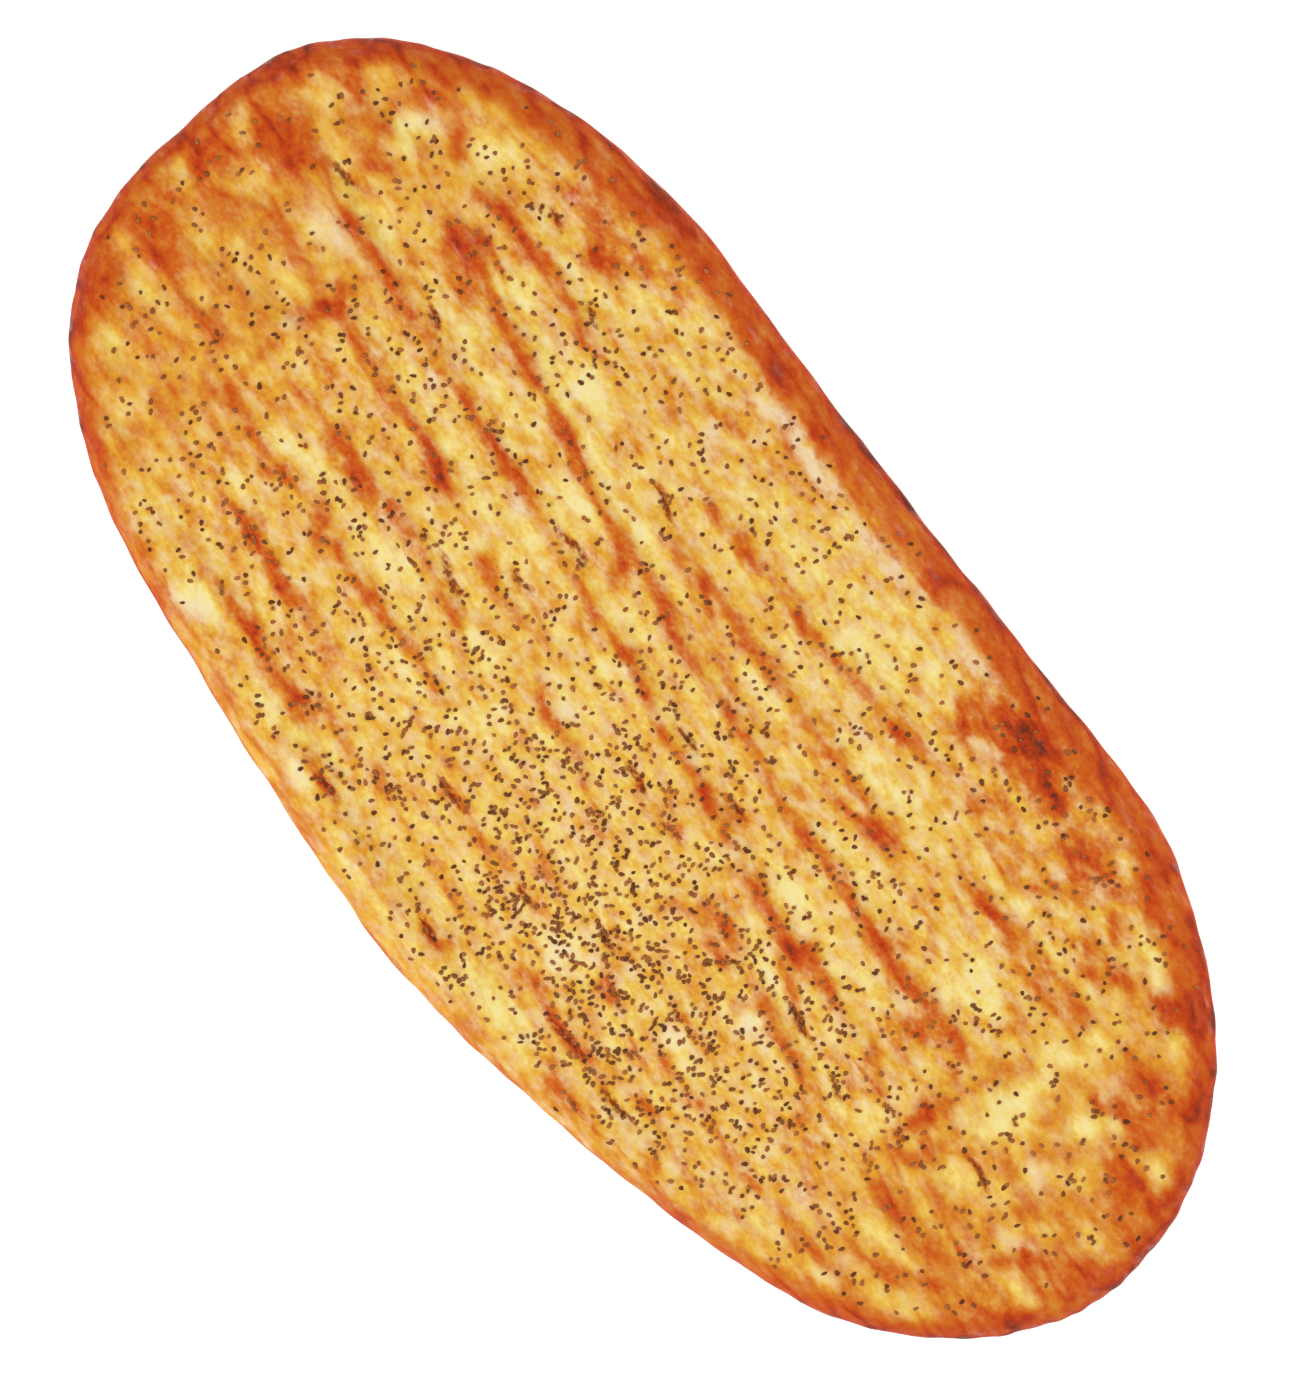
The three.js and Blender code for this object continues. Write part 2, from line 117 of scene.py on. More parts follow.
# Browned patches, and pale hollows of the channels with a minus: middle x, y, half length, half
# width, browning.
PATCH_ROWS: tuple[Row, ...] = (
    (-195, 88, 16, 8, 0.36), (-174, 81, 14, 5, 0.35), (-288, 48, 7, 12, 0.2),
    (-282, 8, 12, 10, 0.3), (-237, 55, 6, 8, 0.25), (-213, 15, 7, 5, -0.25),
    (-282, 22, 6, 6, -0.25), (-223, 88, 6, 6, 0.3), (-205, 5, 5, 9, 0.38), (-172, 103, 24, 9, 0.42),
    (-216, -8, 16, 7, 0.34), (-265, -45, 6, 7, 0.25), (-225, -42, 14, 5, 0.2),
    (-266, -31, 12, 10, 0.25), (-246, 79, 6, 9, 0.4), (-184, 60, 14, 15, 0.4),
    (-268, 30, 14, 10, 0.2), (-272, -57, 12, 8, 0.22), (-148, 68, 8, 6, 0.22),
    (-232, 104, 16, 7, -0.42), (-236, 67, 9, 7, -0.35), (-236, -68, 8, 7, 0.15),
    (-182, -12, 18, 6, 0.26), (-246, -48, 18, 4, -0.2), (-160, -28, 8, 10, 0.3),
    (-186, -70, 10, 8, 0.22), (-97, -31, 16, 7, -0.2), (-96, -11, 9, 6, -0.3),
    (-78, -44, 14, 6, -0.2), (-52, 32, 5, 9, 0.14), (-148, 104, 16, 9, 0.3), (-98, 12, 7, 4, 0.25),
    (-281, -56, 6, 8, 0.2), (-203, -48, 8, 5, 0.28), (-230, 33, 20, 6, -0.28),
    (-285, -13, 16, 5, -0.2), (-248, -76, 8, 10, -0.28), (-230, -100, 8, 5, 0.2),
    (-145, -28, 9, 6, 0.4), (-140, -51, 6, 7, 0.3), (-165, -51, 7, 4, 0.22),
    (-128, -5, 12, 6, 0.35), (-123, 118, 11, 6, 0.4), (-98, 128, 11, 4, 0.25),
    (-142, 42, 11, 5, 0.25), (-188, 22, 10, 5, 0.25), (-106, 46, 8, 5, 0.2), (-108, 22, 6, 4, 0.25),
    (-20, 37, 12, 4, 0.25), (-50, 30, 5, 8, 0.18), (-28, 75, 11, 4, 0.22), (-82, -12, 9, 5, 0.22),
    (-98, -55, 10, 5, 0.22), (-130, -78, 13, 4, 0.22), (-120, -100, 10, 4, 0.2),
    (-114, -89, 8, 6, 0.28), (-84, -104, 8, 6, 0.35), (-22, -26, 8, 3, 0.3),
    (-42, -95, 10, 4, 0.22), (-68, -118, 9, 5, -0.25), (-40, 111, 17, 5, 0.28),
    (-88, 114, 9, 4, 0.25), (82, 104, 9, 6, 0.4), (130, 112, 8, 6, 0.35), (154, 82, 7, 5, 0.3),
    (184, 96, 6, 5, 0.32), (195, 78, 6, 4, 0.25), (97, 43, 8, 6, 0.32), (98, 53, 9, 4, 0.2),
    (52, 60, 6, 5, -0.2), (67, 77, 8, 4, 0.2), (110, 82, 7, 4, 0.22), (140, 19, 14, 5, 0.2),
    (80, 1, 8, 5, 0.28), (52, 4, 9, 6, 0.3), (6, 10, 7, 5, -0.22), (175, 56, 12, 3, 0.22),
    (170, 13, 7, 5, 0.32), (115, -9, 8, 6, 0.28), (158, -8, 13, 4, 0.28), (96, -33, 10, 5, 0.3),
    (150, -53, 9, 6, -0.25), (67, -37, 7, 6, 0.28), (66, -61, 9, 5, 0.34), (38, -77, 5, 6, 0.25),
    (25, -70, 6, 4, 0.25), (78, -78, 6, 4, 0.3), (110, -82, 9, 8, 0.2), (126, -92, 8, 3, 0.3),
    (88, -101, 16, 3, 0.25), (18, -118, 8, 4, 0.3), (98, -116, 12, 7, 0.28),
    (143, -106, 10, 6, 0.25), (195, -10, 8, 5, 0.3), (238, -9, 9, 9, -0.25), (276, -39, 8, 7, 0.25),
    (268, -12, 6, 6, 0.2), (270, -57, 8, 6, 0.25), (234, -72, 7, 6, 0.22), (222, -81, 7, 5, -0.25),
    (190, -57, 24, 5, 0.26), (168, -53, 4, 5, 0.22), (240, 66, 7, 9, 0.22), (238, 52, 8, 4, 0.2),
    (262, 79, 9, 11, 0.34), (263, 38, 6, 6, 0.28), (274, 40, 8, 13, 0.32), (284, 2, 6, 8, 0.2),
    (240, 42, 13, 6, -0.35), (243, -67, 14, 5, -0.32), (260, -8, 10, 7, -0.25),
    (276, -22, 12, 4, -0.3), (222, 44, 8, 8, 0.36), (204, 28, 10, 9, 0.28), (250, 22, 7, 9, -0.25),
    (163, 12, 6, 8, 0.24), (188, 14, 6, 9, 0.28), (190, 61, 18, 5, 0.25), (214, 102, 8, 6, -0.3),
    (212, 70, 9, 5, 0.25), (152, 104, 16, 9, 0.36), (178, 108, 8, 5, 0.32), (150, 94, 16, 7, 0.22),
    (94, 103, 7, 4, -0.25), (114, 86, 16, 8, 0.3), (226, 99, 6, 8, 0.32), (214, -8, 7, 7, 0.3),
    (206, -22, 6, 11, 0.25), (174, -22, 7, 7, 0.22), (112, -119, 26, 5, 0.18),
    (170, -98, 14, 4, 0.2), (202, -90, 16, 4, 0.2), (232, -55, 8, 4, 0.25), (26, 46, 16, 6, -0.2),
    (10, 28, 12, 5, -0.2), (-50, 70, 14, 5, -0.2), (-5, -32, 12, 4, -0.3), (66, -8, 9, 5, -0.22),
    (98, -17, 14, 5, -0.22), (128, -73, 12, 6, -0.25), (-30, -126, 14, 4, -0.2),
    (-150, -106, 8, 6, -0.3), (28, 110, 8, 4, 0.3), (22, 84, 4, 9, 0.2), (15, -101, 30, 4, 0.16),
    (-168, 40, 16, 5, -0.18), (-148, 28, 16, 4, -0.28), (-162, 66, 16, 5, -0.2),
    (-118, 53, 9, 6, -0.3), (-163, -40, 20, 5, -0.2), (-168, -68, 10, 6, -0.25),
    (-148, -108, 12, 6, -0.28), (-205, -36, 9, 6, -0.3), (-125, 105, 13, 5, -0.22),
    (-82, 100, 20, 4, -0.28), (-15, 90, 24, 7, -0.18), (2, 54, 9, 9, 0.24), (-44, 8, 8, 5, 0.25),
    (-85, 78, 20, 8, -0.2), (-120, 62, 22, 6, -0.25), (-90, 52, 13, 6, -0.22),
    (-130, 36, 17, 6, -0.22), (-90, 30, 13, 7, -0.2), (-56, 46, 13, 5, -0.22),
    (-86, 4, 19, 8, -0.28), (-127, 10, 12, 5, -0.2), (-30, 22, 12, 5, -0.22),
    (-18, 2, 15, 5, -0.22), (-110, -40, 19, 6, -0.22), (-55, -30, 14, 5, -0.22),
    (-22, -18, 13, 6, -0.12), (-42, -51, 26, 8, -0.24), (-70, -62, 12, 4, -0.22),
    (-138, -88, 10, 4, -0.22), (-92, -86, 6, 7, 0.25), (-90, -114, 19, 4, -0.22),
    (40, 84, 30, 8, -0.24), (45, 104, 26, 6, -0.2), (25, 66, 21, 5, -0.2), (85, 61, 24, 7, -0.22),
    (148, 72, 12, 4, -0.28), (88, 33, 16, 6, -0.2), (95, 5, 19, 5, -0.22), (133, 3, 20, 5, -0.26),
    (115, -24, 12, 6, -0.22), (152, -16, 12, 7, -0.26), (130, -42, 10, 6, -0.26),
    (112, -68, 7, 4, -0.25), (57, -86, 8, 7, -0.22), (60, -115, 24, 5, -0.2),
    (166, 120, 8, 4, -0.35), (168, 39, 18, 9, -0.26), (118, -18, 8, 6, 0.35),
    (178, -28, 14, 7, -0.22), (195, -90, 16, 5, -0.2), (-120, 133, 32, 6, 0.35),
    # The last patch on the next line, at x -22, y 141, browns the +Y side's edge to char: painted shade of
    # the side turned away from the light.
    (108, 119, 12, 6, 0.3), (62, 134, 10, 4, 0.6), (120, 133, 40, 6, 0.35), (-22, 141, 50, 5, 2.2),
    (107, 114, 21, 7, 0.2), (128, 108, 10, 4, 0.14), (-82, 38, 18, 6, -0.25),
    (-78, 20, 14, 5, -0.2), (-282, 0, 8, 8, 0.4), (-40, -120, 12, 4, -0.25),
    (-205, -18, 8, 8, -0.25), (5, 5, 14, 8, -0.2), (10, -78, 24, 4, 0.25), (78, -76, 8, 6, 0.25),
    (57, -99, 8, 5, 0.3), (-92, 64, 12, 4, 0.28), (-88, 84, 9, 9, 0.22), (190, 46, 13, 5, 0.3),
    (221, 31, 6, 6, 0.35), (168, 112, 7, 4, 0.3), (-148, 112, 12, 6, 0.2), (181, 16, 7, 9, 0.22),
    (-182, -32, 10, 11, 0.2), (-97, -38, 6, 4, 0.3), (140, 78, 16, 4, 0.25), (84, -34, 18, 4, 0.22),
    (120, -40, 4, 8, 0.25), (112, -49, 7, 5, -0.2), (258, 0, 9, 4, -0.3), (226, 13, 7, 6, -0.25),
    (230, -36, 10, 8, -0.22), (170, 86, 6, 8, -0.25), (244, 92, 8, 5, -0.25),
    (266, -21, 10, 4, 0.3),
)

# Places where the crust is painted whitish, as dried glaze film with a painted highlight on it: middle x, y,
# half length, half width, share.
SHEEN_FILM_ROWS: tuple[Row, ...] = (
    (-45, 117, 32, 4, 1), (15, 118, 20, 5, 1), (68, 118, 14, 5, 0.8), (-226, 24, 12, 7, 0.9),
    (-238, 80, 6, 6, 0.8), (-98, 13, 8, 4, 0.9), (-65, 93, 8, 6, 0.7), (20, -47, 10, 3, 0.8),
    (112, -68, 7, 4, 0.8), (222, -77, 4, 8, 0.8), (93, 101, 9, 3, 1), (219, 97, 6, 6, 0.9),
    (168, 105, 10, 4, 0.8), (243, 13, 7, 5, 0.9), (130, -42, 10, 6, 0.8), (-20, -20, 13, 6, 0.4),
    (-122, -32, 8, 5, 0.7), (-206, -13, 5, 5, 0.8), (-148, -114, 8, 5, 0.9), (262, -11, 9, 4, 0.8),
    (232, 58, 4, 7, 0.8), (156, 12, 9, 3, 0.9), (-158, 20, 8, 4, 0.8), (-145, 70, 12, 4, 0.5),
    (-140, 46, 12, 3, 0.6), (57, 68, 14, 4, 0.6), (190, -65, 14, 5, 0.6), (68, -72, 9, 4, 0.6),
    (57, -86, 8, 7, 0.6), (-70, -120, 8, 5, 0.6), (113, 112, 12, 4, 0.5), (-166, 112, 9, 4, 0.5),
    (105, 85, 9, 4, 0.6), (250, -27, 8, 4, 0.7), (-95, 40, 8, 4, 0.5), (-262, 65, 6, 5, 0.4),
)

# Splits in the crust, whose floor is painted dark as the shade in the crease: middle x, y, length, turn in
# degrees.
SPLIT_ROWS: tuple[Row, ...] = (
    (-60, 61, 20, -14), (-68, 22, 22, 2), (-90, -24, 24, -16), (-70, -3, 14, 0), (-240, 42, 16, 4),
    (-174, 35, 12, -14), (-175, 97, 12, -18), (-135, 84, 12, -12), (20, 10, 16, 0), (53, 8, 14, 4),
    (20, -16, 18, -10), (45, -18, 14, 6), (135, -25, 22, -8), (-22, -78, 20, 0), (30, -80, 16, 0),
    (-55, -115, 16, 6), (82, -102, 30, 2), (118, -103, 22, 4), (15, -119, 14, 0),
    (165, -30, 14, -20), (228, -6, 16, -10), (60, -65, 18, -10),
)


# ---- Colours ----

def srgb(red: int, green: int, blue: int) -> Colour:
    """Linear colour of an sRGB colour given from 0 to 255.

    Args:
        red: Red share.
        green: Green share.
        blue: Blue share.

    Returns:
        The colour in Blender's linear values.
    """
    def linear(share: int) -> float:
        """Linear value of one share."""
        value = share / 255
        return value / 12.92 if value <= 0.04045 else ((value + 0.055) / 1.055) ** 2.4

    return linear(red), linear(green), linear(blue)


class Bake(Enum):
    """Stages of browning of the glazed crust, as a place on the colour ramp and its colour."""

    CREAM = (0.05, srgb(252, 234, 156))
    PALE = (0.165, srgb(250, 221, 124))
    STRAW = (0.262, srgb(243, 199, 88))
    GOLDEN = (0.417, srgb(233, 164, 54))
    AMBER = (0.532, srgb(220, 131, 42))
    RUSSET = (0.646, srgb(212, 99, 30))
    MAHOGANY = (0.76, srgb(197, 66, 24))
    # CHAR, dark grey-brown, is reached mostly through the patch on the +Y side's edge, where it is painted
    # shade.
    CHAR = (0.956, srgb(84, 42, 30))


# ---- Node trees as Python expressions ----

class Value:
    """A number socket of a node tree that can be used in Python arithmetic."""

    def __init__(self, graph: Graph, socket: bpy.types.NodeSocket) -> None:
        """Wraps a socket.

        Args:
            graph: The graph that the socket is in.
            socket: The output socket.
        """
        self.graph = graph
        self.socket = socket

    def __add__(self, other: Any) -> Value:
        """Sum."""
        return self.graph.math("ADD", self, other)

    def __radd__(self, other: Any) -> Value:
        """Sum with a number on the left."""
        return self.graph.math("ADD", other, self)

    def __sub__(self, other: Any) -> Value:
        """Difference."""
        return self.graph.math("SUBTRACT", self, other)

    def __rsub__(self, other: Any) -> Value:
        """Difference with a number on the left."""
        return self.graph.math("SUBTRACT", other, self)

    def __mul__(self, other: Any) -> Value:
        """Product."""
        return self.graph.math("MULTIPLY", self, other)

    def __rmul__(self, other: Any) -> Value:
        """Product with a number on the left."""
        return self.graph.math("MULTIPLY", other, self)

    def step(self, low: float, high: float) -> Value:
        """Smooth step from 0 at low to 1 at high.

        Args:
            low: Value where the step starts.
            high: Value where the step is full.

        Returns:
            The step, from 0 to 1.
        """
        sockets = {"Value": self, "From Min": low, "From Max": high}
        settings = {"interpolation_type": "SMOOTHSTEP"}
        return self.graph.add("ShaderNodeMapRange", settings, sockets).out("Result")

    def clamped(self) -> Value:
        """The value held between 0 and 1."""
        return self.graph.add("ShaderNodeClamp", {}, {"Value": self}).out("Result")


@dataclass(frozen=True)
class Placed:
    """A node that stands in a graph."""

    graph: Graph
    node: bpy.types.Node

    def out(self, name: str | int = 0) -> Value:
        """One output of the node.

        Args:
            name: The socket's identifier, name or place.

        Returns:
            The wrapped socket.
        """
        return Value(self.graph, self.graph.find(self.node.outputs, name))


class Graph:
    """Adds nodes and links to one node tree, for shaders and geometry alike."""

    def __init__(self, tree: bpy.types.NodeTree) -> None:
        """Starts on a tree.

        Args:
            tree: A node tree, which is emptied.
        """
        self.tree = tree
        tree.nodes.clear()

    @staticmethod
    def find(sockets: Sequence[bpy.types.NodeSocket], name: str | int) -> bpy.types.NodeSocket:
        """Finds a socket.

        Args:
            sockets: The node's inputs or outputs.
            name: The socket's identifier, name or place.

        Returns:
            The socket, by identifier first, then by name among those that are in use.
        """
        if isinstance(name, int):
            return sockets[name]
        for socket in sockets:
            if socket.identifier == name:
                return socket
        return next(socket for socket in sockets if socket.name == name and socket.enabled)

    def add(self, kind: str, settings: dict[str, Any] | None = None,
            sockets: dict[str | int, Any] | None = None) -> Placed:
        """Adds a node.

        Args:
            kind: The node's type.
            settings: Its settings, set before the sockets. "stops" holds a ramp's places and colours.
            sockets: Values or links of its inputs.

        Returns:
            The node in the graph.
        """
        node = self.tree.nodes.new(kind)
        for name, setting in (settings or {}).items():
            if name == "stops":
                self._set_stops(node.color_ramp, setting)
            else:
                setattr(node, name, setting)
        for name, value in (sockets or {}).items():
            self.feed(self.find(node.inputs, name), value)
        return Placed(self, node)

    def feed(self, socket: bpy.types.NodeSocket, value: Any) -> None:
        """Links a wrapped socket to an input, or sets a plain value on it.

        Args:
            socket: The input.
            value: A wrapped socket or a plain value.
        """
        if isinstance(value, Value):
            self.tree.links.new(value.socket, socket)
        elif isinstance(value, tuple) and socket.type == "RGBA":
            socket.default_value = (*value[:3], 1.0)
        else:
            socket.default_value = value

    @staticmethod
    def _set_stops(ramp: bpy.types.ColorRamp, stops: Sequence[tuple[float, Colour]]) -> None:
        """Sets the places and colours of a ramp.

        Args:
            ramp: The ramp.
            stops: Place and colour of each stop, in order.
        """
        while len(ramp.elements) < len(stops):
            ramp.elements.new(1.0)
        for element, (place, colour) in zip(ramp.elements, stops):
            element.position = place
            element.color = (*colour, 1.0)

    def math(self, operation: str, *values: Any) -> Value:
        """A Math node.

        Args:
            operation: The operation's name.
            *values: Its one or two values.

        Returns:
            The result.
        """
        return self.add("ShaderNodeMath", {"operation": operation}, dict(enumerate(values))).out()

    def mix(self, factor: Any, first: Any, second: Any) -> Value:
        """A mix of two colours.

        Args:
            factor: Share of the second colour.
            first: First colour.
            second: Second colour.

        Returns:
            The mixed colour.
        """
        sockets = {"Factor_Float": factor, "A_Color": first, "B_Color": second}
        return self.add("ShaderNodeMix", {"data_type": "RGBA"}, sockets).out("Result_Color")

    def attribute(self, name: str) -> Value:
        """A number stored on the piece, read in a shader.

        Args:
            name: The attribute's name.

        Returns:
            Its value.
        """
        return self.add("ShaderNodeAttribute", {"attribute_name": name}).out("Fac")

    def field(self, name: str) -> Value:
        """A number stored on the piece, read in a geometry tree.

        Args:
            name: The attribute's name.

        Returns:
            Its value.
        """
        return self.add("GeometryNodeInputNamedAttribute", {}, {"Name": name}).out("Attribute")

    def stretched(self, place: Value, size: Size) -> Value:
        """Coordinates in which a pattern of size 1 gets another size along each axis.

        Args:
            place: The coordinates, in metres.
            size: Size of the pattern along x, y and z, in millimetres.

        Returns:
            The stretched coordinates.
        """
        scale = tuple(1 / (length * MM) for length in size)
        return self.add("ShaderNodeVectorMath", {"operation": "MULTIPLY"}, {0: place, 1: scale}).out()

    def noise(self, place: Value, size: Size, detail: float = 2.0) -> Value:
        """Cloudy noise from about 0 to 1.

        Args:
            place: The coordinates, in metres.
            size: Size of its patches along x, y and z, in millimetres.
            detail: Number of finer layers.

        Returns:
            The noise.
        """
        sockets = {"Vector": self.stretched(place, size), "Scale": 1.0, "Detail": detail}
        return self.add("ShaderNodeTexNoise", {}, sockets).out()

    def surface(self, sockets: dict[str | int, Any]) -> None:
        """Ends a material's tree in one Principled surface.

        Args:
            sockets: Values or links of the surface's inputs.
        """
        shader = self.add("ShaderNodeBsdfPrincipled", {}, sockets)
        self.add("ShaderNodeOutputMaterial", {}, {"Surface": shader.out("BSDF")})


def new_material(name: str) -> tuple[bpy.types.Material, Graph]:
    """Starts a material.

    Args:
        name: Its name.

    Returns:
        The material and the graph of its emptied tree.
    """
    material = bpy.data.materials.new(name)
    material.use_nodes = True
    return material, Graph(material.node_tree)


def new_object(name: str, data: bpy.types.ID) -> bpy.types.Object:
    """Puts a mesh, a light or a camera into the scene.

    Args:
        name: The object's name.
        data: Its data.

    Returns:
        The object, at the origin.
    """
    thing = bpy.data.objects.new(name, data)
    bpy.context.scene.collection.objects.link(thing)
    return thing


# ---- Shape of the loaf ----

def smoothstep(value: np.ndarray, low: float, high: float) -> np.ndarray:
    """Smooth step from 0 at low to 1 at high.

    Args:
        value: Numbers.
        low: Where the step starts.
        high: Where the step is full.

    Returns:
        The step, from 0 to 1.
    """
    share = np.clip((value - low) / (high - low), 0, 1)
    return share * share * (3 - 2 * share)


@dataclass(frozen=True)
class Outline:
    """Smooth closed curve round the loaf, counterclockwise from the middle of its +X end."""

    length: float
    width: float
    points: tuple[Pair, ...] = OUTLINE_POINTS
    lump_height: float = 0.5

    def sample(self, per_span: int) -> np.ndarray:
        """Samples the curve and fits it to the loaf's length and width.

        Args:
            per_span: Samples from one point to the next.

        Returns:
            The places as an array of x and y, in millimetres.
        """
        start = np.array(self.points, float)
        before, end, after = np.roll(start, 1, 0), np.roll(start, -1, 0), np.roll(start, -2, 0)
        share = (np.arange(per_span) / per_span)[None, :, None]
        start, before, end, after = (points[:, None, :] for points in (start, before, end, after))
        curve = 0.5 * (2 * start + (end - before) * share
                       + (2 * before - 5 * start + 4 * end - after) * share ** 2
                       + (3 * start - before - 3 * end + after) * share ** 3)
        curve = curve.reshape(-1, 2)
        low, high = curve.min(0), curve.max(0)
        curve = (curve - (low + high) / 2) * (np.array([self.length, self.width]) / (high - low))
        turn = np.linspace(0, 2 * np.pi, len(curve), endpoint=False)
        lumps = 0.5 * np.sin(31 * turn + 1) + 0.4 * np.sin(73 * turn + 3 * np.sin(5 * turn))
        return curve * (1 + self.lump_height * lumps / np.hypot(*curve.T))[:, None]


@dataclass(frozen=True)
class Ridge:
    """Narrow crest that the fingers left between two channels."""

    from_x: float
    from_y: float
    to_x: float
    to_y: float
    bow: float
    height: float

    half_width: float = 5.6
    end_fade: float = 13.0
    wander: float = 0.9
    wander_length: float = 11.0
    unevenness: float = 0.16
    uneven_length: float = 17.0

    def profile(self, x: np.ndarray, y: np.ndarray, sharpness: float = 1.0) -> np.ndarray:
        """Share of the ridge's height at each place.

        Args:
            x: Places along the loaf.
            y: Places across it.
            sharpness: How much narrower than the ridge itself the profile is.

        Returns:
            The share, from 0 to 1.
        """
        length = math.hypot(self.to_x - self.from_x, self.to_y - self.from_y)
        along_x = (self.to_x - self.from_x) / length
        along_y = (self.to_y - self.from_y) / length
        along = (x - self.from_x) * along_x + (y - self.from_y) * along_y
        share = np.clip(along / length, 0, 1)
        across = (y - self.from_y) * along_x - (x - self.from_x) * along_y
        across = across - 4 * self.bow * share * (1 - share)
        across = across - self.wander * np.sin(along / self.wander_length + self.from_y)
        fade = smoothstep(along, -self.end_fade, self.end_fade)
        fade = fade * (1 - smoothstep(along, length - self.end_fade, length + self.end_fade))
        uneven = 1 - self.unevenness + self.unevenness * np.sin(along / self.uneven_length + self.from_x)
        return fade * uneven * np.exp(-((across * sharpness / self.half_width) ** 2))


@dataclass(frozen=True)
class Bump:
    """Oval blister, dimple, patch or sheen film."""

    x: float
    y: float
    half_length: float
    half_width: float
    size: float

    def profile(self, x: np.ndarray, y: np.ndarray) -> np.ndarray:
        """Share of the bump's size at each place.

        Args:
            x: Places along the loaf.
            y: Places across it.

        Returns:
            The share, from 0 to 1.
        """
        distance = np.hypot((x - self.x) / self.half_length, (y - self.y) / self.half_width)
        return np.exp(-(distance ** 3))


@dataclass(frozen=True)
class Split:
    """Thin split in the crust."""

    x: float
    y: float
    length: float
    turn: float

    half_width: float = 1.7
    wander: float = 0.5
    wander_length: float = 2.6

    def profile(self, x: np.ndarray, y: np.ndarray) -> np.ndarray:
        """How far each place is inside the split.

        Args:
            x: Places along the loaf.
            y: Places across it.

        Returns:
            The share, from 0 to 1.
        """
        turn = math.radians(self.turn)
        along = (x - self.x) * math.cos(turn) + (y - self.y) * math.sin(turn)
        across = (y - self.y) * math.cos(turn) - (x - self.x) * math.sin(turn)
        across = across - self.wander * np.sin(along / self.wander_length + self.x)
        return np.exp(-((along / (self.length / 2)) ** 4) - (across / self.half_width) ** 2)


@dataclass(frozen=True)
class CrustRelief:
    """Height of the loaf as hand-shaped, in millimetres."""

    channel_height: float = 19.5
    end_lift: float = 2.0
    end_lift_from: float = 178.0
    end_lift_to: float = 212.0
    rim_lift: float = 3.4
    rim_crest_inset: float = 13.0
    rim_foot_inset: float = 34.0
    equator_height: float = 9.0
    shoulder_fullness: float = 2.6  # 2 for an ellipse, more for a fuller shoulder
    swell_height: float = 0.5
    ripple_height: float = 0.35
    split_depth: float = 0.9

    ridges: tuple[Ridge, ...] = tuple(Ridge(*row) for row in RIDGE_ROWS)
    dimples: tuple[Bump, ...] = tuple(Bump(*row) for row in DIMPLE_ROWS)
    blisters: tuple[Bump, ...] = tuple(Bump(*row) for row in BLISTER_ROWS)
    splits: tuple[Split, ...] = tuple(Split(*row) for row in SPLIT_ROWS)

    def ends(self, x: np.ndarray) -> np.ndarray:
        """How far each place is in the two lifted ends, from 0 to 1."""
        return smoothstep(np.abs(x), self.end_lift_from, self.end_lift_to)

    def split(self, x: np.ndarray, y: np.ndarray) -> np.ndarray:
        """How far each place is inside a split, from 0 to 1."""
        return np.max([split.profile(x, y) for split in self.splits], axis=0)

    def crust_height(self, x: np.ndarray, y: np.ndarray, inset: np.ndarray) -> np.ndarray:
        """Height of the crust above the table.

        Args:
            x: Places along the loaf.
            y: Places across it.
            inset: Their distance inside the edge.

        Returns:
            The heights.
        """
        rim = self.rim_lift * (1 - smoothstep(inset, self.rim_crest_inset, self.rim_foot_inset))
        relief = np.maximum(rim, self.end_lift * self.ends(x))
        relief += np.max([ridge.height * ridge.profile(x, y) for ridge in self.ridges], axis=0)
        for dimple in self.dimples:
            relief -= dimple.size * dimple.profile(x, y)
        for blister in self.blisters:
            relief += blister.size * blister.profile(x, y)
        relief += self.swell_height * np.sin(x / 31 + 1.3) * np.cos(y / 24 + 0.5)
        relief += self.ripple_height * np.sin(x / 15 - y / 12 + 2)
        relief -= self.split_depth * self.split(x, y)
        return self.channel_height + relief * smoothstep(inset, 0, self.rim_crest_inset)

    def shoulder_height(self, x: np.ndarray, y: np.ndarray, inset: np.ndarray) -> np.ndarray:
        """Height above the widest line: a quarter oval up to the crest of the rim.

        Args:
            x: Places along the loaf.
            y: Places across it.
            inset: Their distance inside the edge.

        Returns:
            The heights.
        """
        outward = 1 - np.minimum(inset / self.rim_crest_inset, 1)
        rise = np.sqrt(1 - outward ** self.shoulder_fullness)
        return self.equator_height + (self.crust_height(x, y, inset) - self.equator_height) * rise


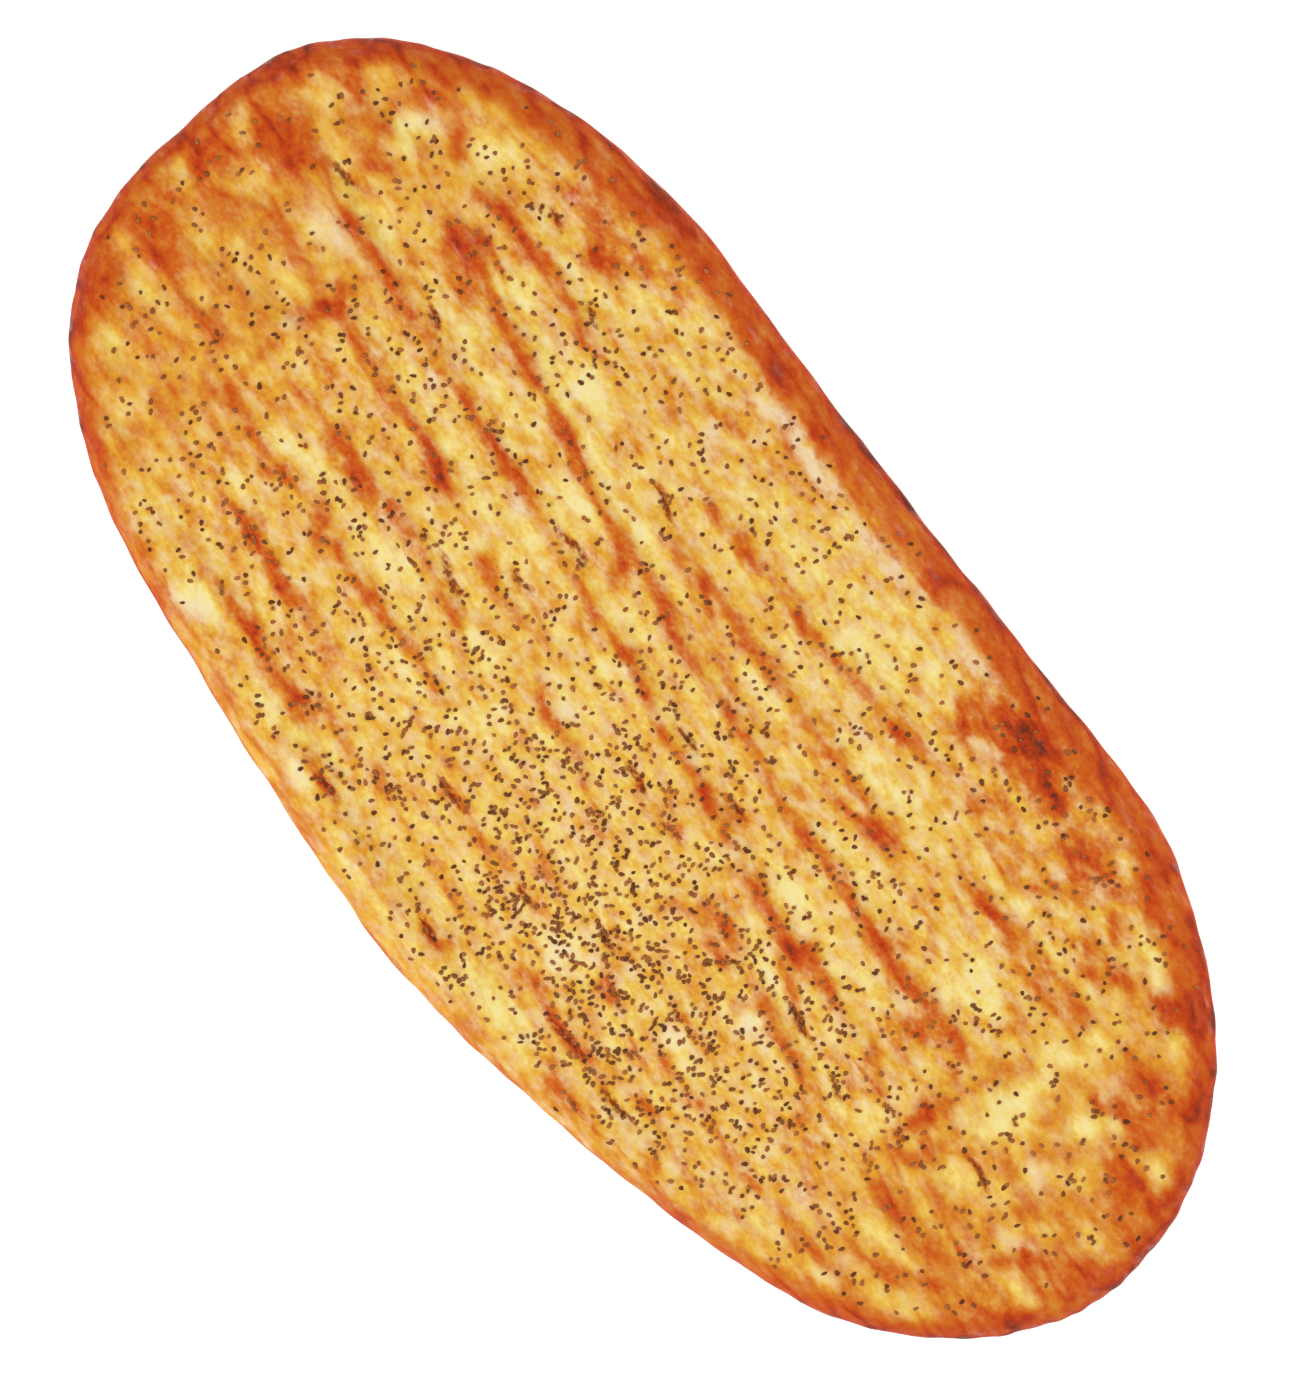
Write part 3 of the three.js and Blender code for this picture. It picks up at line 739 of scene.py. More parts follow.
@dataclass(frozen=True)
class Browning:
    """How far the oven browned each place, from about 0 for pale to 1 for nearly burnt, with painted shade at
    the outer edge and on the +Y side's edge.
    """

    relief: CrustRelief
    patches: tuple[Bump, ...] = tuple(Bump(*row) for row in PATCH_ROWS)
    sheen_films: tuple[Bump, ...] = tuple(Bump(*row) for row in SHEEN_FILM_ROWS)

    channel_tone: float = 0.252
    end_gain: float = 0.33
    end_span: Pair = (185.0, 250.0)
    ridge_gain: float = 0.56
    ridge_sharpness: float = 1.7
    tall_ridge: float = 2.6
    dimple_loss: float = 0.17  # for each millimetre of depth
    blister_gain: float = 0.16  # for each millimetre of height
    patch_gain: float = 1.15
    belly_loss: float = 0.07
    belly_middle: Pair = (70.0, -70.0)
    belly_size: Pair = (90.0, 45.0)
    dark_from: float = 0.68
    dark_later_at_ends: float = 0.1
    dark_loss: float = 0.45  # share of what is browner than dark_from that is taken off

    rim_tone: float = 0.43
    hot_gain: float = 0.49
    hot_across: Pair = (-40.0, 70.0)
    hot_along: Pair = (50.0, 255.0)
    # Painted shade: the crust darkens towards its outermost edge, where the side turns from the light.
    edge_shade_gain: float = 0.2
    edge_shade_width: float = 4.0
    rim_cover: float = 0.82
    rim_inset: Pair = (4.0, 13.0)
    wide_rim_inset: Pair = (11.0, 22.0)
    wide_across: Pair = (20.0, 100.0)
    wide_along: Pair = (190.0, 280.0)

    def bake(self, x: np.ndarray, y: np.ndarray, inset: np.ndarray) -> np.ndarray:
        """Browning of the crust before its fine pattern.

        Args:
            x: Places along the loaf.
            y: Places across it.
            inset: Their distance inside the edge.

        Returns:
            The browning.
        """
        ends = smoothstep(np.abs(x), *self.end_span)
        tone = self.channel_tone + self.end_gain * ends
        crests = [ridge.profile(x, y, self.ridge_sharpness) * ridge.height for ridge in self.relief.ridges]
        tone += self.ridge_gain * np.max(crests, axis=0) / self.tall_ridge
        # Painted shade along the silhouette: darker within edge_shade_width of the edge.
        rim_tone = self.rim_tone + self.edge_shade_gain * (1 - smoothstep(inset, 0, self.edge_shade_width))
        x, y = self.warped(x, y)
        for dimple in self.relief.dimples:
            tone -= self.dimple_loss * dimple.size * dimple.profile(x, y)
        for blister in self.relief.blisters:
            tone += self.blister_gain * blister.size * blister.profile(x, y)
        for patch in self.patches:
            tone += self.patch_gain * patch.size * patch.profile(x, y)
        along = (x - self.belly_middle[0]) / self.belly_size[0]
        across = (y - self.belly_middle[1]) / self.belly_size[1]
        tone -= self.belly_loss * np.exp(-along ** 2 - across ** 2)
        tone -= self.dark_loss * np.maximum(tone - self.dark_from - self.dark_later_at_ends * ends, 0)
        rim_tone = rim_tone + self.hot_gain * self.hot_side(x, y)
        return tone + (rim_tone - tone) * self.rim_cover * self.rim(x, y, inset)

    def hot_side(self, x: np.ndarray, y: np.ndarray) -> np.ndarray:
        """How much each place lay on the hot side of the oven, from 0 to 1."""
        return np.maximum(smoothstep(y, *self.hot_across), smoothstep(np.abs(x), *self.hot_along))

    def rim(self, x: np.ndarray, y: np.ndarray, inset: np.ndarray) -> np.ndarray:
        """How far each place is in the browned rim.

        Args:
            x: Places along the loaf.
            y: Places across it.
            inset: Their distance inside the edge.

        Returns:
            The share, from 0 to 1. The rim is wider on the hot side.
        """
        wide = smoothstep(y, *self.wide_across) * (1 - smoothstep(np.abs(x), *self.wide_along))
        low, high = (narrow + (broad - narrow) * wide
                     for narrow, broad in zip(self.rim_inset, self.wide_rim_inset))
        return 1 - smoothstep(inset, low, high)

    def sheen_film(self, x: np.ndarray, y: np.ndarray) -> np.ndarray:
        """Share of whitish glaze film and painted sheen at each place, from 0 to 1."""
        x, y = self.warped(x, y)
        return np.max([sheen_film.size * sheen_film.profile(x, y) for sheen_film in self.sheen_films], axis=0)

    @staticmethod
    def warped(x: np.ndarray, y: np.ndarray) -> tuple[np.ndarray, np.ndarray]:
        """Places moved a few millimetres to and fro, which gives patches uneven borders.

        Args:
            x: Places along the loaf.
            y: Places across it.

        Returns:
            The moved places. Each way has a coarse wave that leans and a fine one.
        """
        return (x + 2.6 * np.sin(y / 4.1 + x / 23) + 1.6 * np.sin(y / 2.3 + 1),
                y + 1.9 * np.sin(x / 6.3 + y / 17) + 1.1 * np.sin(x / 3.4 + 2))


@dataclass(frozen=True)
class CrustGrain:
    """Fine pattern of the crust: soft streaks that rose and browned, with pale hollows between them."""

    streak_size: Size = (20.0, 8.5, 10.0)
    end_streak_size: Size = (12.0, 9.0, 10.0)
    strand_size: Size = (70.0, 20.0, 24.0)
    strand_thinness: float = 16.0
    drift: float = 0.11  # how much the streaks slant across the loaf
    end_calm: float = 0.45  # share of their browning that the streaks lose at the ends
    streak_height: float = 1.7
    strand_height: float = 0.4
    streak_bake: float = 0.68
    strand_bake: float = 0.24

    def tree(self) -> bpy.types.NodeTree:
        """Builds the geometry tree.

        Returns:
            The tree, with named inputs for its sizes.
        """
        tree = bpy.data.node_groups.new("crust_grain", "GeometryNodeTree")
        graph = Graph(tree)
        tree.interface.new_socket("Geometry", in_out="INPUT", socket_type="NodeSocketGeometry")
        for name in ("Streak Height", "Strand Height", "Streak Bake", "Strand Bake"):
            tree.interface.new_socket(name, in_out="INPUT", socket_type="NodeSocketFloat")
        tree.interface.new_socket("Material", in_out="INPUT", socket_type="NodeSocketMaterial")
        tree.interface.new_socket("Geometry", in_out="OUTPUT", socket_type="NodeSocketGeometry")
        given = graph.add("NodeGroupInput")
        streak, strand = self._streaks(graph, graph.field("ends"))

        lift = given.out("Streak Height") * streak + given.out("Strand Height") * strand
        normal = graph.add("GeometryNodeInputNormal").out()
        offset = graph.add("ShaderNodeVectorMath", {"operation": "SCALE"},
                           {0: normal, "Scale": lift * graph.field("top")})
        moved = graph.add("GeometryNodeSetPosition", {},
                          {"Geometry": given.out("Geometry"), "Offset": offset.out()})
        calm = 1 - graph.field("ends") * self.end_calm
        browned = (graph.field("bake") + given.out("Streak Bake") * streak * calm
                   + given.out("Strand Bake") * strand)
        stored = graph.add("GeometryNodeStoreNamedAttribute", {"data_type": "FLOAT", "domain": "POINT"},
                           {"Geometry": moved.out(), "Name": "bake", "Value": browned})
        dressed = graph.add("GeometryNodeSetMaterial", {},
                            {"Geometry": stored.out(), "Material": given.out("Material")})
        graph.add("NodeGroupOutput", {}, {"Geometry": dressed.out()})
        return tree

    def _streaks(self, graph: Graph, ends: Value) -> tuple[Value, Value]:
        """Soft streaks, longer in the middle than at the ends, and thin strands among them.

        Args:
            graph: The tree's graph.
            ends: How far a place is in the ends.

        Returns:
            The streaks, about -0.3 to 0.3, and the strands, from 0 to 1.
        """
        place = graph.add("GeometryNodeInputPosition").out()
        parts = graph.add("ShaderNodeSeparateXYZ", {}, {0: place})
        slanted = graph.add("ShaderNodeCombineXYZ", {}, {
            "X": parts.out("X"), "Y": parts.out("Y") + parts.out("X") * self.drift, "Z": parts.out("Z")})
        long_streak = graph.noise(slanted.out(), self.streak_size, 3.0)
        short_streak = graph.noise(slanted.out(), self.end_streak_size, 3.0)
        streak = long_streak + (short_streak - long_streak) * ends - 0.5
        fold = graph.noise(slanted.out(), self.strand_size, 2.0) - 0.5
        strand = (1 - graph.math("ABSOLUTE", fold) * self.strand_thinness).clamped()
        return streak, strand


@dataclass(frozen=True)
class Loaf:
    """The crust of the whole loaf as one closed mesh, with its sizes in millimetres."""

    length: float
    width: float
    relief: CrustRelief = CrustRelief()
    browning: Browning = Browning(CrustRelief())
    grain: CrustGrain = CrustGrain()

    spine_half_length: float = 165.0
    base_inset: float = 6.5
    samples_per_span: int = 32
    top_ring_spacing: float = 1.65
    shoulder_rings: int = 14
    curl_rings: int = 8
    underside_rings: int = 10
    least_grain: float = 0.4  # share of the grain's height that is left at the mid-height of the side
    grain_from_inset: float = 2.0
    split_softness: float = 1.5
    weld_distance: float = 0.02

    @property
    def half_width(self) -> float:
        """Half of the loaf's width."""
        return self.width / 2

    def _rings(self) -> list[tuple[float, str]]:
        """Lays out the rings from the mid line out over the rim and under.

        Returns:
            The inset and the side of each ring: top, curl or base.
        """
        crest = self.relief.rim_crest_inset
        top_count = round((self.half_width - crest) / self.top_ring_spacing)
        rings = [(inset, "top") for inset in np.linspace(self.half_width, crest, top_count + 1)]
        turns = np.linspace(0, math.pi / 2, self.shoulder_rings + 1)[1:]
        rings += [(crest * (1 - math.sin(turn)), "top") for turn in turns]
        turns = np.linspace(0, math.pi / 2, self.curl_rings + 1)[1:]
        rings += [(self.base_inset * (1 - math.cos(turn)), "curl") for turn in turns]
        insets = np.linspace(self.base_inset, self.half_width, self.underside_rings + 1)[1:]
        return rings + [(inset, "base") for inset in insets]

    def build(self, finish: CrustFinish) -> bpy.types.Object:
        """Builds the crust and dresses it.

        Args:
            finish: The crust's finish.

        Returns:
            The crust as a plain mesh object.
        """
        edge = Outline(self.length, self.width).sample(self.samples_per_span)
        count = len(edge)
        spine_x = self.spine_half_length * np.cos(2 * np.pi * np.arange(count) / count)
        spine = np.column_stack([spine_x, np.zeros(count)])
        rings = self._rings()
        insets = np.array([inset for inset, _ in rings])[:, None] * np.ones(count)
        flat = edge[None] + (spine - edge)[None] * (insets / self.half_width)[..., None]
        x, y = flat[..., 0], flat[..., 1]
        side = np.array([side for _, side in rings])[:, None]
        equator = self.relief.equator_height
        curl = (1 - insets / self.base_inset).clip(0, 1)
        curl_height = equator * (1 - np.sqrt(1 - curl ** 2))
        height = np.select([side == "top", side == "curl"],
                           [self.relief.shoulder_height(x, y, insets), curl_height], 0)
        top = (side == "top") * np.ones(count)
        grown = smoothstep(insets, self.grain_from_inset, self.relief.rim_crest_inset)
        fields = {
            "bake": self.browning.bake(x, y, insets),
            "sheen_film": self.browning.sheen_film(x, y) * top,
            "rim": self.browning.rim(x, y, insets) * top,
            "ends": self.relief.ends(x),
            "top": top * (self.least_grain + (1 - self.least_grain) * grown),
            "under": np.select([side == "top", side == "curl"], [0 * x, 1 - height / equator], 1),
            "split": self.relief.split(x, y) ** self.split_softness * top,
            "inset": insets * MM,
        }
        vertices = np.stack([x, y, height], axis=-1).reshape(-1, 3) * MM
        crust = self._mesh(vertices, len(rings), count, fields)
        return self._grained(crust, finish.material())

    @staticmethod
    def _mesh(vertices: np.ndarray, rings: int, count: int,
              fields: dict[str, np.ndarray]) -> bpy.types.Object:
        """Makes the mesh, whose innermost rings still lie double on the mid line.

        Args:
            vertices: Places of all ring points.
            rings: Number of rings.
            count: Points in a ring.
            fields: Numbers to store on the points.

        Returns:
            The mesh object.
        """
        here = np.arange(count)
        after = (here + 1) % count
        inner = (np.arange(rings - 1) * count)[:, None]
        faces = np.stack([inner + here, inner + count + here, inner + count + after, inner + after], axis=-1)
        mesh = bpy.data.meshes.new("bread_crust")
        mesh.from_pydata(vertices, [], faces.reshape(-1, 4))
        for name, values in fields.items():
            mesh.attributes.new(name, "FLOAT", "POINT").data.foreach_set("value", values.ravel())
        return new_object("bread_crust", mesh)

    def _grained(self, crust: bpy.types.Object, material: bpy.types.Material) -> bpy.types.Object:
        """Merges the mid line, adds the fine pattern and leaves a plain mesh.

        Args:
            crust: The crust as shaped.
            material: Its material.

        Returns:
            The same object with its final mesh.
        """
        weld = crust.modifiers.new("weld", "WELD")
        weld.merge_threshold = self.weld_distance * MM
        settings = {
            "Streak Height": self.grain.streak_height * MM,
            "Strand Height": self.grain.strand_height * MM,
            "Streak Bake": self.grain.streak_bake,
            "Strand Bake": self.grain.strand_bake,
            "Material": material,
        }
        return applied(crust, self.grain.tree(), settings)


def applied(piece: bpy.types.Object, tree: bpy.types.NodeTree, settings: dict[str, Any]) -> bpy.types.Object:
    """Runs a geometry tree on a piece and keeps the result as its plain, smooth mesh.

    Args:
        piece: The piece.
        tree: The geometry tree.
        settings: Values of the tree's named inputs.

    Returns:
        The same piece.
    """
    modifier = piece.modifiers.new(tree.name, "NODES")
    modifier.node_group = tree
    for socket in tree.interface.items_tree:
        if socket.in_out == "INPUT" and socket.name in settings:
            modifier[socket.identifier] = settings[socket.name]
    depsgraph = bpy.context.evaluated_depsgraph_get()
    evaluated = piece.evaluated_get(depsgraph)
    mesh = bpy.data.meshes.new_from_object(evaluated, preserve_all_data_layers=True, depsgraph=depsgraph)
    mesh.name = piece.name
    piece.modifiers.clear()
    piece.data = mesh
    mesh.shade_smooth()
    return piece


# ---- Finishes ----

@dataclass(frozen=True)
class CrustFinish:
    """Glazed, unevenly browned crust above with painted sheen and painted shade in its splits, dusty toasted
    crust below.
    """

    ramp_start: float = 0.14
    ramp_span: float = 0.62
    mottle_size: Size = (7, 4.5, 4.5)
    mottle_bake: float = 0.85
    speck_size: Size = (2.2, 1.7, 1.7)
    speck_bake: float = 0.45
    # Patch size of the whitish veil that paints sheen on the pale glaze.
    sheen_veil_size: Size = (7.5, 4.5, 5)
    end_calm: float = 0.45
    rim_calm: float = 0.4
    # Painted shade of the crease: the splits are browned and mixed toward dark brown, for the shade in them
    # and the seeds lying there.
    split_shade_bake: float = 0.5
    split_depth: float = 0.75
    # Whitish colour of dried glaze film, which also paints sheen on the pale crust.
    sheen_film_colour: Colour = srgb(250, 231, 200)
    split_shade_colour: Colour = srgb(112, 54, 26)

    dough_colour: Colour = srgb(226, 186, 128)
    toasted_colour: Colour = srgb(192, 134, 76)
    scorched_colour: Colour = srgb(132, 82, 46)
    flour_colour: Colour = srgb(242, 232, 210)

    # Shares of the whitish veil and film, which paint sheen on the pale glaze.
    sheen_veil_cover: float = 0.08
    sheen_veil_contrast: float = 1.35
    sheen_veil_on_brown: float = 0.05
    sheen_veil_on_pale: float = 1.3
    sheen_film_cover: float = 0.45
    sheen_film_contrast: float = 1.2

    toast_size: Size = (30, 22, 20)
    toast_span: Pair = (0.36, 0.66)
    scorch_size: Size = (9, 7, 8)
    scorch_span: Pair = (0.56, 0.7)
    scorch_cover: float = 0.6
    flour_size: Size = (16, 12, 12)
    flour_span: Pair = (0.44, 0.62)
    flour_cover: float = 0.35
    dust_size: Size = (1.4, 1.4, 1.4)
    dust_span: Pair = (0.35, 0.65)
    dust_cover: float = 0.4

    glaze_roughness: float = 0.42
    dry_roughness: float = 0.8
    fine_size: Size = (2.2, 1.5, 1.5)
    fine_contrast: float = 0.25
    gloss_size: Size = (24, 12, 12)
    gloss_contrast: float = 0.5
    base_gloss: float = 0.03
    glint_size: Size = (9, 4, 5)
    glint_span: Pair = (0.54, 0.7)
    glint_roughness: float = 0.2
    glint_share: float = 0.5
    wrinkle_size: Size = (3.4, 2.0, 2.0)
    wrinkle_bump: float = 0.35
    wrinkle_depth: float = 0.6

    def material(self) -> bpy.types.Material:
        """Builds the crust's material.

        Returns:
            The material.
        """
        material, graph = new_material("baked_crust")
        place = graph.add("ShaderNodeTexCoord").out("Object")
        under = graph.attribute("under")
        colour = graph.mix(under.step(0.2, 0.75), self._glazed(graph, place), self._underside(graph, place))
        fine = graph.noise(place, self.fine_size, 3.0) - 0.5
        gloss = graph.noise(place, self.gloss_size, 3.0) - 0.5
        rough = (self.glaze_roughness + fine * self.fine_contrast + gloss * self.gloss_contrast
                 + under * (self.dry_roughness - self.glaze_roughness))
        glints = graph.noise(place, self.glint_size, 3.0).step(*self.glint_span) * (1 - under)
        wrinkles = graph.noise(place, self.wrinkle_size, 4.0)
        bump = graph.add("ShaderNodeBump", {}, {
            "Strength": self.wrinkle_bump, "Distance": self.wrinkle_depth * MM, "Height": wrinkles})
        graph.surface({
            "Base Color": colour, "Roughness": rough.clamped(), "Normal": bump.out("Normal"),
            "Specular IOR Level": self.base_gloss, "Coat Roughness": self.glint_roughness,
            "Coat Weight": glints * self.glint_share})
        return material

    def _glazed(self, graph: Graph, place: Value) -> Value:
        """Colour of the glazed crust, with painted sheen on pale places and painted shade in the splits.

        Args:
            graph: The material's graph.
            place: Object coordinates.

        Returns:
            The colour.
        """
        mottle = graph.noise(place, self.mottle_size, 3.0) - 0.5
        speck = graph.noise(place, self.speck_size, 2.0) - 0.5
        sheen_veil = graph.noise(place, self.sheen_veil_size, 4.0) - 0.5
        split = (graph.attribute("split") * (1.1 + speck * 2.5)).clamped()
        calm = 1 - graph.attribute("ends") * self.end_calm
        contrast = (1 - graph.attribute("rim") * self.rim_calm) * (0.5 + calm * 0.5)
        tone = (graph.attribute("bake") + split * self.split_shade_bake
                + (mottle * self.mottle_bake + speck * self.speck_bake) * contrast)
        baked = graph.add("ShaderNodeValToRGB", {"stops": [stage.value for stage in Bake]}, {
            "Fac": (self.ramp_start + tone * self.ramp_span).clamped()}).out("Color")
        pale = 1 - tone.step(0.3, 0.85)
        # Painted sheen: a whitish veil over pale places and whitish glaze film at the listed spots stand in
        # for soft highlights on the glaze.
        sheen_film = ((self.sheen_veil_cover + sheen_veil * self.sheen_veil_contrast)
                * (self.sheen_veil_on_brown + pale * self.sheen_veil_on_pale) * calm
                + graph.attribute("sheen_film") * pale * (self.sheen_film_cover + mottle * self.sheen_film_contrast))
        glazed = graph.mix(sheen_film.clamped(), baked, self.sheen_film_colour)
        # Painted shade: the split's floor is mixed toward dark brown as the crease's shade, with the brown of
        # seeds in it.
        return graph.mix(split * split * self.split_depth, glazed, self.split_shade_colour)

    def _underside(self, graph: Graph, place: Value) -> Value:
        """Colour of the floury underside.

        Args:
            graph: The material's graph.
            place: Object coordinates.

        Returns:
            The colour.
        """
        toast = graph.noise(place, self.toast_size, 5.0).step(*self.toast_span)
        scorch = graph.noise(place, self.scorch_size, 4.0).step(*self.scorch_span)
        flour = graph.noise(place, self.flour_size, 6.0).step(*self.flour_span)
        dust = graph.noise(place, self.dust_size, 2.0).step(*self.dust_span)
        toasted = graph.mix(toast, self.dough_colour, self.toasted_colour)
        scorched = graph.mix(scorch * self.scorch_cover, toasted, self.scorched_colour)
        powder = flour * (self.flour_cover + dust * self.dust_cover)
        return graph.mix(powder, scorched, self.flour_colour)


@dataclass(frozen=True)
class SeedFinish:
    """Dull, dark brown seeds that differ a little in tone."""

    darkest: Colour = srgb(100, 48, 22)
    lightest: Colour = srgb(184, 112, 56)
    roughness: float = 0.65
    gloss: float = 0.25
    pit_size: Size = (0.5, 0.5, 0.5)
    pit_bump: float = 0.4
    pit_depth: float = 0.1

    def material(self) -> bpy.types.Material:
        """Builds the seeds' material.

        Returns:
            The material.
        """
        material, graph = new_material("nigella")
        place = graph.add("ShaderNodeTexCoord").out("Object")
        colour = graph.mix(graph.attribute("tone"), self.darkest, self.lightest)
        pits = graph.noise(place, self.pit_size, 1.0)
        bump = graph.add("ShaderNodeBump", {}, {
            "Strength": self.pit_bump, "Distance": self.pit_depth * MM, "Height": pits})
        graph.surface({"Base Color": colour, "Roughness": self.roughness, "Normal": bump.out("Normal"),
                       "Specular IOR Level": self.gloss})
        return material


# ---- Seeds ----

@dataclass(frozen=True)
class NigellaSeeds:
    """Small keeled seeds, scattered as a hand throws them and baked on."""

    length: float = 2.8
    width: float = 1.7
    thickness: float = 1.3
    taper: float = 0.75
    length_range: Pair = (0.65, 1.15)
    width_range: Pair = (0.75, 1.15)
    thickness_range: Pair = (0.9, 1.1)
    tip_range: Pair = (-0.3, 0.3)  # radians, lengthwise
    lift_range: Pair = (-0.15, 0.4)  # of a seed's middle over the crust

    least_gap: float = 1.3
    most_per_square_metre: float = 260000.0
    scatter_seed: int = 7
    drift_size: Size = (22, 5, 12)
    drift_span: Pair = (0.42, 0.64)
    clump_size: Size = (6, 4, 5)
    clump_span: Pair = (0.44, 0.62)
    more_in_splits: float = 0.3

    bare_ends: Pair = (200.0, 290.0)
    bare_side: Pair = (75.0, 130.0)
    edge_span: Pair = (4.0, 18.0)
    heap_middle: Pair = (60.0, -62.0)
    heap_size: Pair = (110.0, 56.0)

    def build(self, crust: bpy.types.Object, finish: SeedFinish) -> bpy.types.Object:
        """Scatters the seeds over the crust.

        Args:
            crust: The finished crust.
            finish: The seeds' finish.

        Returns:
            The seeds as one plain mesh object.
        """
        ground = crust.data.copy()
        self._store_density(ground)
        seeds = new_object("nigella_seeds", ground)
        settings = {
            "Least Gap": self.least_gap * MM,
            "Most Per Area": self.most_per_square_metre,
            "Seed Size": tuple(size * MM for size in (self.length, self.width, self.thickness)),
            "Scatter Seed": self.scatter_seed,
            "Material": finish.material(),
        }
        return applied(seeds, self.tree(), settings)

    def _store_density(self, ground: bpy.types.Mesh) -> None:
        """Stores how thickly seeds lie: most in the heap, least at the ends and along the +Y side.

        Args:
            ground: The mesh that the seeds are scattered on.
        """
        count = len(ground.vertices)
        places, inset, top = np.empty(count * 3), np.empty(count), np.empty(count)
        ground.vertices.foreach_get("co", places)
        ground.attributes["inset"].data.foreach_get("value", inset)
        ground.attributes["top"].data.foreach_get("value", top)
        x, y, _ = places.reshape(-1, 3).T / MM
        middle = 1 - smoothstep(np.abs(x), *self.bare_ends)
        near_side = 1 - smoothstep(y, *self.bare_side)
        along = (x - self.heap_middle[0]) / self.heap_size[0]
        across = (y - self.heap_middle[1]) / self.heap_size[1]
        heap = np.exp(-along ** 2 - across ** 2)
        density = (0.45 + 0.55 * middle) * (0.65 + 0.35 * near_side) * (0.31 + 1.05 * heap)
        density *= smoothstep(inset / MM, *self.edge_span) * (top > 0.3)
        ground.attributes.new("seed_density", "FLOAT", "POINT").data.foreach_set("value", density)

    def tree(self) -> bpy.types.NodeTree:
        """Builds the geometry tree that scatters the seeds.

        Returns:
            The tree, with named inputs for its sizes and its random seed.
        """
        tree = bpy.data.node_groups.new("seed_scatter", "GeometryNodeTree")
        graph = Graph(tree)
        for name, kind in (("Geometry", "Geometry"), ("Least Gap", "Float"), ("Most Per Area", "Float"),
                           ("Seed Size", "Vector"), ("Scatter Seed", "Int"), ("Material", "Material")):
            tree.interface.new_socket(name, in_out="INPUT", socket_type=f"NodeSocket{kind}")
        tree.interface.new_socket("Geometry", in_out="OUTPUT", socket_type="NodeSocketGeometry")
        given = graph.add("NodeGroupInput")
        chance = given.out("Scatter Seed")

        def draw(low: float, high: float, offset: int) -> Value:
            """A random number for each seed."""
            sockets = {"Min_001": low, "Max_001": high, "Seed": chance + offset}
            return graph.add("FunctionNodeRandomValue", {"data_type": "FLOAT"}, sockets).out("Value_001")

        place = graph.add("GeometryNodeInputPosition").out()
        drifts = graph.noise(place, self.drift_size, 2.0).step(*self.drift_span)
        clumps = graph.noise(place, self.clump_size, 2.0).step(*self.clump_span)
        density = graph.field("seed_density") * (0.08 + 0.32 * drifts + 0.3 * clumps + 0.3 * drifts * clumps)
        density = density + graph.field("split") * self.more_in_splits
        points = graph.add("GeometryNodeDistributePointsOnFaces", {"distribute_method": "POISSON"}, {
            "Mesh": given.out("Geometry"), "Distance Min": given.out("Least Gap"),
            "Density Max": given.out("Most Per Area"), "Density Factor": density, "Seed": chance})

        ball = graph.add("GeometryNodeMeshUVSphere", {}, {"Radius": 0.5, "Segments": 8, "Rings": 4})
        around = graph.add("ShaderNodeSeparateXYZ", {}, {0: place})
        taper = 1 - around.out("X") * self.taper
        shape = graph.add("ShaderNodeCombineXYZ", {}, {
            "X": around.out("X"), "Y": around.out("Y") * taper, "Z": around.out("Z") * taper})
        drop = graph.add("GeometryNodeSetPosition", {}, {
            "Geometry": ball.out("Mesh"), "Position": shape.out()})
        seed = graph.add("GeometryNodeTransform", {}, {
            "Geometry": drop.out(), "Scale": given.out("Seed Size")})

        yaw = graph.add("FunctionNodeAxisAngleToRotation", {}, {
            "Axis": (0.0, 0.0, 1.0), "Angle": draw(0.0, 2 * math.pi, 1)})
        tip = graph.add("FunctionNodeAxisAngleToRotation", {}, {
            "Axis": (0.0, 1.0, 0.0), "Angle": draw(*self.tip_range, 2)})
        turned = graph.add("FunctionNodeRotateRotation", {"rotation_space": "LOCAL"}, {
            "Rotation": points.out("Rotation"), "Rotate By": yaw.out()})
        tipped = graph.add("FunctionNodeRotateRotation", {"rotation_space": "LOCAL"}, {
            "Rotation": turned.out(), "Rotate By": tip.out()})
        size = graph.add("ShaderNodeCombineXYZ", {}, {
            "X": draw(*self.length_range, 3), "Y": draw(*self.width_range, 4),
            "Z": draw(*self.thickness_range, 5)})
        laid = graph.add("GeometryNodeInstanceOnPoints", {}, {
            "Points": points.out("Points"), "Instance": seed.out(), "Rotation": tipped.out(),
            "Scale": size.out()})
        sunk = graph.add("GeometryNodeTranslateInstances", {}, {
            "Instances": laid.out(), "Local Space": True,
            "Translation": graph.add("ShaderNodeCombineXYZ", {}, {
                "Z": draw(*self.lift_range, 6) * MM}).out()})
        toned = graph.add("GeometryNodeStoreNamedAttribute", {"data_type": "FLOAT", "domain": "INSTANCE"}, {
            "Geometry": sunk.out(), "Name": "tone", "Value": draw(0.0, 1.0, 8)})
        real = graph.add("GeometryNodeRealizeInstances", {}, {"Geometry": toned.out()})
        dressed = graph.add("GeometryNodeSetMaterial", {}, {
            "Geometry": real.out(), "Material": given.out("Material")})
        graph.add("NodeGroupOutput", {}, {"Geometry": dressed.out()})
        return tree


# ---- Studio ----

@dataclass(frozen=True)
class Photograph:
    """Where the loaf lies in the photograph, in its pixels, and how it was taken."""

    width: int = 1289
    height: int = 1400
    loaf_middle: Pair = (638.3, 714.4)
    pixels_per_mm: float = 2.5007
    turn: float = 51.8  # of the loaf's +X axis below the horizontal, in degrees
    tilt: float = 3.5  # of the camera from straight overhead towards +Y, in degrees
    distance: float = 1.9
    target_height: float = 12.0


@dataclass(frozen=True)
class Softbox:
    """Soft area light that faces the loaf, with its place and size in metres and its power in watts."""

    name: str
    place: tuple[float, float, float]
    size: Pair
    power: float

    def build(self) -> None:
        """Adds the light."""
        light = bpy.data.lights.new(self.name, "AREA")
        light.shape = "RECTANGLE"
        light.size, light.size_y = self.size
        light.energy = self.power
        lamp = new_object(self.name, light)
        lamp.location = self.place
        lamp.rotation_euler = Vector(self.place).to_track_quat("Z", "Y").to_euler()


